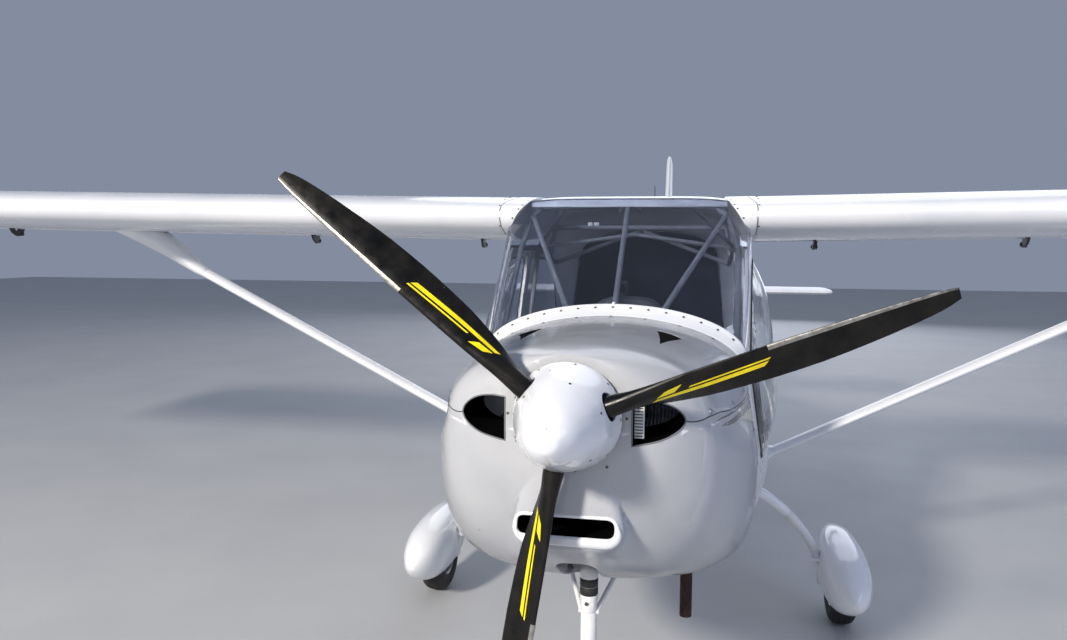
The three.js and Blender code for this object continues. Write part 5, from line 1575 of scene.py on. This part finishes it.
STRUT_FROM, STRUT_TO = np.array([536, 2011.1, 715.4]), np.array([2560, 1960, 1752])
bar_rows = []
for t in np.linspace(0, 1, 14):
    x, s, z = STRUT_FROM * (1 - t) + STRUT_TO * t
    bar_rows.append(lens_ring(x, s, z, 104, 46))
CAP = (
    # x, station, height, chord, thickness
    (2060, 1973, 1497, 100, 34), (2080, 1972, 1508, 108, 50), (2200, 1969, 1590, 130, 100),
    (2310, 1966, 1662, 150, 130), (2530, 1962, 1742, 160, 90),
)
cap_at = curves(CAP)
cap_rows = [lens_ring(x, *(float(f(x)) for f in cap_at)) for x in (2060, 2080, 2130, 2200, 2310, 2420, 2530)]
both(joined([loft(bar_rows), loft(cap_rows)]), "strut_skin", ALLOY_PAINT, ["strut_left"],
     crease=50)
cuff = [lens_ring(x, 2011, z, 118, 60) for x, z in ((538, 716), (566, 731), (600, 748))]
cuff.append(lens_ring(612, 2010, 754.5, 108, 49))
both(loft(cuff), "strut_foot_cuff", GELCOAT, crease=50)


# Landing gear


LEG = [(440, 1990, 618), (530, 1988, 588), (620, 1988, 536), (700, 1992, 468), (768, 2002, 384),
       (812, 2014, 300), (832, 2024, 225), (838, 2030, WHEEL_R)]
leg_line = through(LEG, 8)
leg_radius = np.interp(np.arange(len(leg_line)), np.arange(8) * 8, [24, 22, 21, 20, 19, 19, 19, 19])
leg = swept(leg_line, leg_radius, 28)
axle = drum(14.5, 0, 150, (834, MAIN_S, WHEEL_R), ACROSS, 32)
both(joined([leg, axle]), "gear_leg_tube", LEG_PAINT, ["gear_leg_left"], crease=60)
collar = swept(leg_line[3:23], leg_radius[3:23] + 1.5, 28)
both(collar, "gear_leg_collar", GELCOAT, crease=60)

SPAT = np.array([
    # station from the axle, half width, half height, centre height
    (-406, 2, 2, 243), (-402, 12, 12, 243), (-392, 24, 25, 243), (-372, 42, 45, 243), (-307, 74, 90, 244),
    (-205, 95, 123, 245), (-65, 101, 137, 246), (75, 97, 133, 250), (205, 79, 108, 261), (316, 47, 66, 275),
    (372, 23, 35, 283), (394, 10, 15, 287), (400, 2, 3, 288),
])
spat_at = curves(SPAT)
SPAT_ROWS = [-406, -404, -400, -392, -381, -366, -343, -315, -280, -240, -195, -140, -85, -28, 28, 84,
             140, 186, 232, 280, 320, 353, 377, 391, 397, 400]


def spat_rings(x0, s0, size, wall):
    rings = []
    for s in SPAT_ROWS:
        w, h, z = [float(f(s)) for f in spat_at]
        w, h = max(w * size - wall, 0.8), max(h * size - wall, 0.8)
        inwards = wall * 1.5 * (1 if s < 0 else -1) * (abs(s) > 350)
        ring = []
        for a in 2 * np.pi * (np.arange(40) + 0.5) / 40:
            c, d = math.cos(a), math.sin(a)
            ring.append((x0 + w * math.copysign(abs(c) ** 0.86, c), s0 + s * size + inwards,
                         50 + (z - 50) * size + h * math.copysign(abs(d) ** 0.86, d)))
        rings.append(ring)
    return rings


def spat(x0, s0, size, wheel_r, extra):
    made = loft(spat_rings(x0, s0, size, 0))
    well = drum(wheel_r + 12, -62, 62, (x0, s0, wheel_r), ACROSS, 48)
    return carved(made, [loft(spat_rings(x0, s0, size, 6)), well, *extra])


main_spat = spat(MAIN_X, MAIN_S, 1, WHEEL_R, [swept(leg_line[30:], 23, 20)])
both(main_spat, "spat_shell", GELCOAT, ["spat_left"])
cup = turned([(23, 0), (31, 1), (31, 4), (27, 9), (20.5, 12), (20, 0), (23, 0)], (817, 2017, 281),
             (-0.26, -0.12, 0.96), 28)
both(cup, "spat_leg_cup", GELCOAT, crease=60)

TYRE = [(96, -44), (104, -49), (118, -54), (134, -54.5), (146, -52), (157, -45), (165, -35), (168.5, -24),
        (166.5, -22.5), (166.5, -19.5), (169.4, -18), (170, -9), (167.6, -7.5), (167.6, -4.5), (170, -3),
        (170, 3), (167.6, 4.5), (167.6, 7.5), (170, 9), (169.4, 18), (166.5, 19.5), (166.5, 22.5),
        (168.5, 24), (165, 35), (157, 45), (146, 52), (134, 54.5), (118, 54), (104, 49), (96, 44),
        (96, -44)]
RIM = [(16, -40), (34, -40), (38, -34), (40, -16), (60, -12), (84, -18), (91, -40), (95, -46),
       (96.4, -46), (96.4, -42), (94, -38), (94, 38), (96.4, 42), (96.4, 46), (95, 46), (91, 40),
       (84, 18), (60, 12), (40, 16), (38, 34), (34, 40), (16, 40), (16, -40)]


BEAD_R = 96


def wheel(x, s, size, body, name, stands_for):
    """A tyre and its rim. The rim's radius stays, and a smaller size has a lower and narrower tyre."""
    height = BEAD_R + (WHEEL_R - BEAD_R) * size
    tyre = turned([(BEAD_R + (r - BEAD_R) * size, d * size) for r, d in TYRE], (x, s, height), ACROSS, 72)
    hub_part = turned([(r, d * size) for r, d in RIM], (x, s, height), ACROSS, 56)
    for k in (1, -1):
        for i in range(6):
            a = math.radians(60 * i)
            spot = (x + k * 12 * size, s + 50 * math.cos(a), height + 50 * math.sin(a))
            bolt = turned([(0, 0), (6, 0), (6, 4), (3.5, 6), (0, 6)], spot, (k, 0, 0), 8)
            hub_part = joined([hub_part, bolt])
    show(tyre, f"{name}_tyre_ribbed", TYRE_RUBBER, [stands_for[0]], crease=24, body=body)
    show(hub_part, f"{name}_rim_turned", ALLOY, [stands_for[1]], body=body)


wheel(MAIN_X, MAIN_S, 1, "main_wheel_left", "main_left", ("tyre_left", "rim_left"))
wheel(-MAIN_X, MAIN_S, 1, "main_wheel_right", "main_right", ("tyre_right", "rim_right"))
wheel(0, NOSE_WHEEL_S, 0.8, "nose_wheel", "nose", ("nose_tyre", "nose_rim"))

# Nose leg: a white cup, two black rubber blocks and a white clamp, with a straight link down each side
head = turned([(0, 716), (24, 716), (25.5, 719), (25.5, 742), (22, 754), (13, 761), (13, 800), (0, 800)],
              NOSE_AXIS, UP, 40)
upper_leg = turned([(0, 798), (26, 798), (26, 850), (0, 852)], NOSE_AXIS, UP, 32)
clamp_ring = turned([(0, 619), (22, 619), (23, 622), (25, 664), (24, 669), (0, 669)], NOSE_AXIS, UP, 40)
carved(clamp_ring, [block(1, 16, 455, 480, 645, 650)])
braces = [rod((0, NOSE_AXIS_S, 835), (k * 192, FIREWALL - 2, 790), 12) for k in (1, -1)]
LINK_FOOT, LINK_RISE = np.array([21, 500, 617]), np.array([44, 100, 73])
links = [rod(LINK_FOOT * (k, 1, 1), (LINK_FOOT + LINK_RISE * 1.55) * (k, 1, 1), 7) for k in (1, -1)]
link_pin = rod((-29, 499, 617), (29, 499, 617), 6)
show(joined([head, upper_leg, clamp_ring, link_pin, *braces, *links]), "nose_leg_head", LEG_PAINT,
     ["nose_leg"], crease=45)
BLOCK_ROWS = [(0, 668), (24, 668), (25.8, 671), (26, 690), (24.5, 693), (24.5, 694), (0, 694)]
blocks = [turned([(r, z + up) for r, z in BLOCK_ROWS], NOSE_AXIS, UP, 48) for up in (0, 24.5)]
show(joined(blocks), "nose_leg_blocks", BLOCK_RUBBER, crease=45)
block_shim = drum(25.4, 692.5, 693.7, NOSE_AXIS, UP, 48)
show(block_shim, "nose_leg_shim", ALLOY)
clamp_bolt = turned([(0, 0), (5, 0), (5, 4), (3, 6), (0, 6)], (-4, 475.5, 648), FORWARD, 12)
show(clamp_bolt, "nose_clamp_bolt", SCREW)

fork_parts = [turned([(0, 412), (20, 412), (23, 420), (23, 616), (21, 618), (0, 618)], NOSE_AXIS, UP,
                     36),
              swept([(-46, NOSE_AXIS_S, 425), (0, NOSE_AXIS_S, 425), (46, NOSE_AXIS_S, 425)], 17, 24),
              drum(14.5, -130, 130, (0, NOSE_WHEEL_S, NOSE_R), ACROSS, 32)]
for k in (1, -1):
    arm = through([(k * 38, NOSE_AXIS_S + 1, 426), (k * 66, NOSE_AXIS_S + 4, 422),
                   (k * 94, NOSE_AXIS_S + 9, 402), (k * 110, NOSE_WHEEL_S - 12, 345),
                   (k * 112, NOSE_WHEEL_S - 4, 250), (k * 112, NOSE_WHEEL_S, NOSE_R - 6)], 6)
    fork_parts.append(swept(arm, 13, 22))
show(joined(fork_parts), "nose_fork_tubes", LEG_PAINT, ["nose_fork"], crease=50,
     body="nose_strut")
nose_spat = spat(0, NOSE_WHEEL_S, 0.88, NOSE_R, [
    drum(15.5, -200, 200, (0, NOSE_WHEEL_S, NOSE_R), ACROSS, 32)])
show(nose_spat, "nose_spat_shell", GELCOAT, ["nose_spat"], body="nose_strut")


# Tail


TAIL_END = 5500
tail_rows = stations(CABIN_END + 1, TAIL_END, 60)
tail_skin = loft([whole_ring(s) for s in tail_rows])
shelf = block(-300, 300, 4925, 5600, 1273, 1400)
carved(tail_skin, [shelf])
show(tail_skin, "tail_cone_skin", ALLOY_PAINT, ["tail_cone"])
tail_rivets = [ring_line(s, 0.1, k=k, start=2) for s in (2916, 3310, 3700, 4090, 4480, 4870) for k in (1, -1)]
for share in (0.25, 0.62):
    for k in (1, -1):
        line = []
        for s in np.arange(2920, 5380, 60):
            low, high = float(section(s)[2]), shoulder(s)
            line.append(skin_side(s, low + (high - low) * share, k, 0.1))
        tail_rivets.append(line)
fasteners("tail_rivets", tail_rivets, RIVET, 34, 2.4, 0.9, 7)


STAB_LE, STAB_TE, STAB_HALF, STAB_THICK = 4950, 5398, 1262, 56


def tail_ring(x, s0, thick_mm):
    """A symmetric section: round nose, flat flanks and a blunt rear."""
    flat = through([(1, 0.42), (0.7, 0.46), (0.35, 0.5), (0.12, 0.38), (0.03, 0.2), (0, 0), (0.03, -0.2),
                    (0.12, -0.38), (0.35, -0.5), (0.7, -0.46), (1, -0.42)], 4)
    return [(x, s0 + u * (STAB_TE - s0), STAB_Z + v * thick_mm) for u, v in flat]


STAB_ROWS = [
    # x, thickness share, move of the nose aft
    (-1262, 0.35, 74), (-1256, 0.55, 44), (-1240, 0.7, 26), (-1202, 0.8, 12), (-700, 0.9, 5), (0, 1, 0),
    (700, 0.9, 5), (1202, 0.8, 12), (1240, 0.7, 26), (1256, 0.55, 44), (1262, 0.35, 74),
]
stabilizer = loft([tail_ring(x, STAB_LE + back, STAB_THICK * t) for x, t, back in STAB_ROWS])
show(stabilizer, "stabilizer_cloth", DOPED_CLOTH, ["stabilizer"], crease=40)


def hinged_ring(x, te, t):
    """A control surface's section: a round nose before the hinge, and a thin trailing edge."""
    flat = through([(te, 2.2), (ELEVATOR_HINGE + 120, 15 * t), (ELEVATOR_HINGE + 12, 21 * t),
                    (ELEVATOR_HINGE - 10, 16 * t), (ELEVATOR_HINGE - 18, 0), (ELEVATOR_HINGE - 10, -16 * t),
                    (ELEVATOR_HINGE + 12, -21 * t), (ELEVATOR_HINGE + 120, -15 * t), (te, -2.2)], 4)
    return [(x, s, STAB_Z + z) for s, z in flat]


ELEVATOR_TE = 5775
ELEVATOR_ROWS = (
    # x, trailing edge, share of the thickness
    (62, 5470, 0.95), (258, ELEVATOR_TE - 4, 1), (262, ELEVATOR_TE, 1), (700, ELEVATOR_TE, 0.9),
    (1226, ELEVATOR_TE, 0.8), (1250, ELEVATOR_TE - 12, 0.66), (STAB_HALF, ELEVATOR_TE - 34, 0.45),
)
half_elevator = loft([hinged_ring(*row) for row in ELEVATOR_ROWS])
torque = drum(15, -66, 66, (0, ELEVATOR_HINGE, STAB_Z), ACROSS, 28)
show(joined([half_elevator, twin(half_elevator), torque]), "elevator_cloth", DOPED_CLOTH,
     ["elevator"], crease=40, body="elevator_surface")
stab_tapes, elevator_tapes = [], []
# How far the points of a rib tape's section lie from its middle, and how far they stand up
TAPE_SECTION = ((-9, 0.1), (-7, 0.8), (7, 0.8), (9, 0.1))
for x in (-1120, -900, -680, -460, -240, 240, 460, 680, 900, 1120):
    t = 1 - 0.2 * abs(x) / STAB_HALF
    stab_tapes.append(loft([tail_ring(x + dx, STAB_LE + abs(x) / 100 - up, STAB_THICK * t + 2 * up)
                            for dx, up in TAPE_SECTION]))
    if abs(x) > 262:
        elevator_tapes.append(loft([
            [(px, s, STAB_Z + (z - STAB_Z) * (1 + up * 0.05))
             for px, s, z in hinged_ring(x + dx, ELEVATOR_TE - 1, t)] for dx, up in TAPE_SECTION]))
show(joined(stab_tapes), "stabilizer_rib_tapes", DOPED_CLOTH)
show(joined(elevator_tapes), "elevator_rib_tapes", DOPED_CLOTH, body="elevator_surface")

FIN_BACK = RUDDER_HINGE - 28
FIN_FLAT = through([(1, 0.42), (0.6, 0.46), (0.3, 0.5), (0.1, 0.36), (0.02, 0.16), (0, 0), (0.02, -0.16),
                    (0.1, -0.36), (0.3, -0.5), (0.6, -0.46), (1, -0.42)], 4)


def fin_ring(z, s0, s1, thick_mm):
    return [(v * thick_mm, s0 + u * (s1 - s0), z) for u, v in FIN_FLAT]


fin_rows = [fin_ring(*row) for row in (
    (1260, 4480, FIN_BACK, 50), (1333, 4640, FIN_BACK, 58), (1375, 4706, FIN_BACK, 56),
    (1420, 4760, FIN_BACK, 54), (1490, 4824, FIN_BACK, 53), (1560, 4880, FIN_BACK, 52),
    (1900, 5071, FIN_BACK, 47), (2300, 5300, FIN_BACK, 42), (2340, 5330, FIN_BACK, 36),
    (2362, 5352, FIN_BACK - 4, 28), (2372, 5374, FIN_BACK - 12, 18), (2377, 5402, FIN_BACK - 26, 6))]
fin = loft(fin_rows)
carved(fin, [drum(42, -90, 90, (0, ELEVATOR_HINGE, STAB_Z), ACROSS, 32),
             loft([whole_ring(s, 3) for s in stations(4300, TAIL_END - 1, 60)])])
show(fin, "fin_cloth", DOPED_CLOTH, ["fin"], crease=40)


def rudder_ring(z, te, t):
    flat = through([(te, 0.06), (RUDDER_HINGE + 150, 0.36), (RUDDER_HINGE + 14, 0.5),
                    (RUDDER_HINGE - 10, 0.4), (RUDDER_HINGE - 18, 0), (RUDDER_HINGE - 10, -0.4),
                    (RUDDER_HINGE + 14, -0.5), (RUDDER_HINGE + 150, -0.36), (te, -0.06)], 4)
    return [(v * t, s, z) for s, v in flat]


RUDDER_TE = 6015
rudder = loft([rudder_ring(*row) for row in (
    (1062, RUDDER_TE - 160, 20), (1066, RUDDER_TE - 146, 34), (1110, RUDDER_TE - 40, 42),
    (1140, RUDDER_TE - 12, 43), (1250, RUDDER_TE, 44), (1700, RUDDER_TE - 70, 42),
    (2300, RUDDER_TE - 165, 38), (2345, RUDDER_TE - 176, 32), (2364, RUDDER_TE - 192, 22),
    (2371, RUDDER_TE - 212, 10))])
show(rudder, "rudder_cloth", DOPED_CLOTH, ["rudder"], crease=40, body="rudder_surface")
tail_fin = prism(rounded([(4860, 980), (5480, 1040), (5480, 960), (5380, 905), (5180, 900)], 30), "x", -9, 9)
show(softened(tail_fin, 3), "ventral_fin_moulding", GELCOAT, ["ventral_fin"])
whip = swept(through([(0, 3380, 1570), (0, 3383, 1700), (0, 3388, 1860), (0, 3392, 2005)], 4),
             np.linspace(5, 2, 13), 16)
whip_foot = turned([(0, 0), (24, 0), (24, 4), (12, 12), (8, 34), (0, 36)], (0, 3380, 1603), (0, 0.1, 1), 28)
show(joined([whip, whip_foot]), "aerial_whip", BLOCK_RUBBER, ["aerial"])


# Stage, lights and camera


FLOOR_HALF_M = 30
floor_mesh = bpy.data.meshes.new("studio_floor")
floor_corners = [(x * FLOOR_HALF_M, y * FLOOR_HALF_M, 0) for x, y in ((-1, -1), (1, -1), (1, 1), (-1, 1))]
floor_mesh.from_pydata(floor_corners, [], [(0, 1, 2, 3)])
floor_mesh.materials.append(finish("pale_studio_floor", "B6B8BA", "B0B2B5", 900, (0.6, 0.7)))
placed("studio_floor", floor_mesh)

LIGHTS = (
    # name, place, what it points at, size in m, power in W, colour
    ("key_light", (-5.0, -12.8, 6.9), (0, -1.5, 1.2), 1.3, 2350, "FFF6EA"),
    ("fill_light", (9.0, -6.0, 5.0), (0, -1.5, 1.0), 7.0, 240, "D6E0FF"),
    ("back_light", (1.0, 12.0, 7.0), (0, 0, 1.2), 14.0, 620, "F4F7FF"),
)
for name, place, target, size_m, power, hex_code in LIGHTS:
    data = bpy.data.lights.new(name, "AREA")
    data.shape = "DISK"
    data.size = size_m
    data.energy = power
    data.color = linear(hex_code)[:3]
    lamp = placed(name, data)
    lamp.location = place
    lamp.rotation_euler = (Vector(target) - Vector(place)).to_track_quat("-Z", "Y").to_euler()
world = bpy.data.worlds.new("soft_studio")
bpy.context.scene.world = world
world.use_nodes = True
world.node_tree.nodes["Background"].inputs["Color"].default_value = linear("BFCCE6")
world.node_tree.nodes["Background"].inputs["Strength"].default_value = 0.44
bpy.context.scene.view_settings.view_transform = "Standard"

# The photograph's own view
IMAGE_WIDTH = 1067
FOCAL_PIXELS = 863.83
CAMERA_PLACE = (0.3016, -4.7649, 1.6588)
CAMERA_YAW, CAMERA_PITCH, CAMERA_ROLL = -0.1949, 0.0883, 0.0056
ahead = Vector((math.sin(CAMERA_YAW) * math.cos(CAMERA_PITCH), math.cos(CAMERA_YAW) * math.cos(CAMERA_PITCH),
                -math.sin(CAMERA_PITCH)))
level = Vector((math.cos(CAMERA_YAW), -math.sin(CAMERA_YAW), 0))
upright = level.cross(ahead)
right = level * math.cos(CAMERA_ROLL) + upright * math.sin(CAMERA_ROLL)
above = -level * math.sin(CAMERA_ROLL) + upright * math.cos(CAMERA_ROLL)
lens_data = bpy.data.cameras.new("photo_view")
SENSOR_MM = 36
lens_data.sensor_width = SENSOR_MM
lens_data.sensor_fit = "HORIZONTAL"
lens_data.lens = SENSOR_MM * FOCAL_PIXELS / IMAGE_WIDTH
camera = placed("photo_view", lens_data)
turn = Matrix((right, above, -ahead)).transposed().to_4x4()
camera.matrix_world = Matrix.Translation(Vector(CAMERA_PLACE)) @ turn
bpy.context.scene.camera = camera
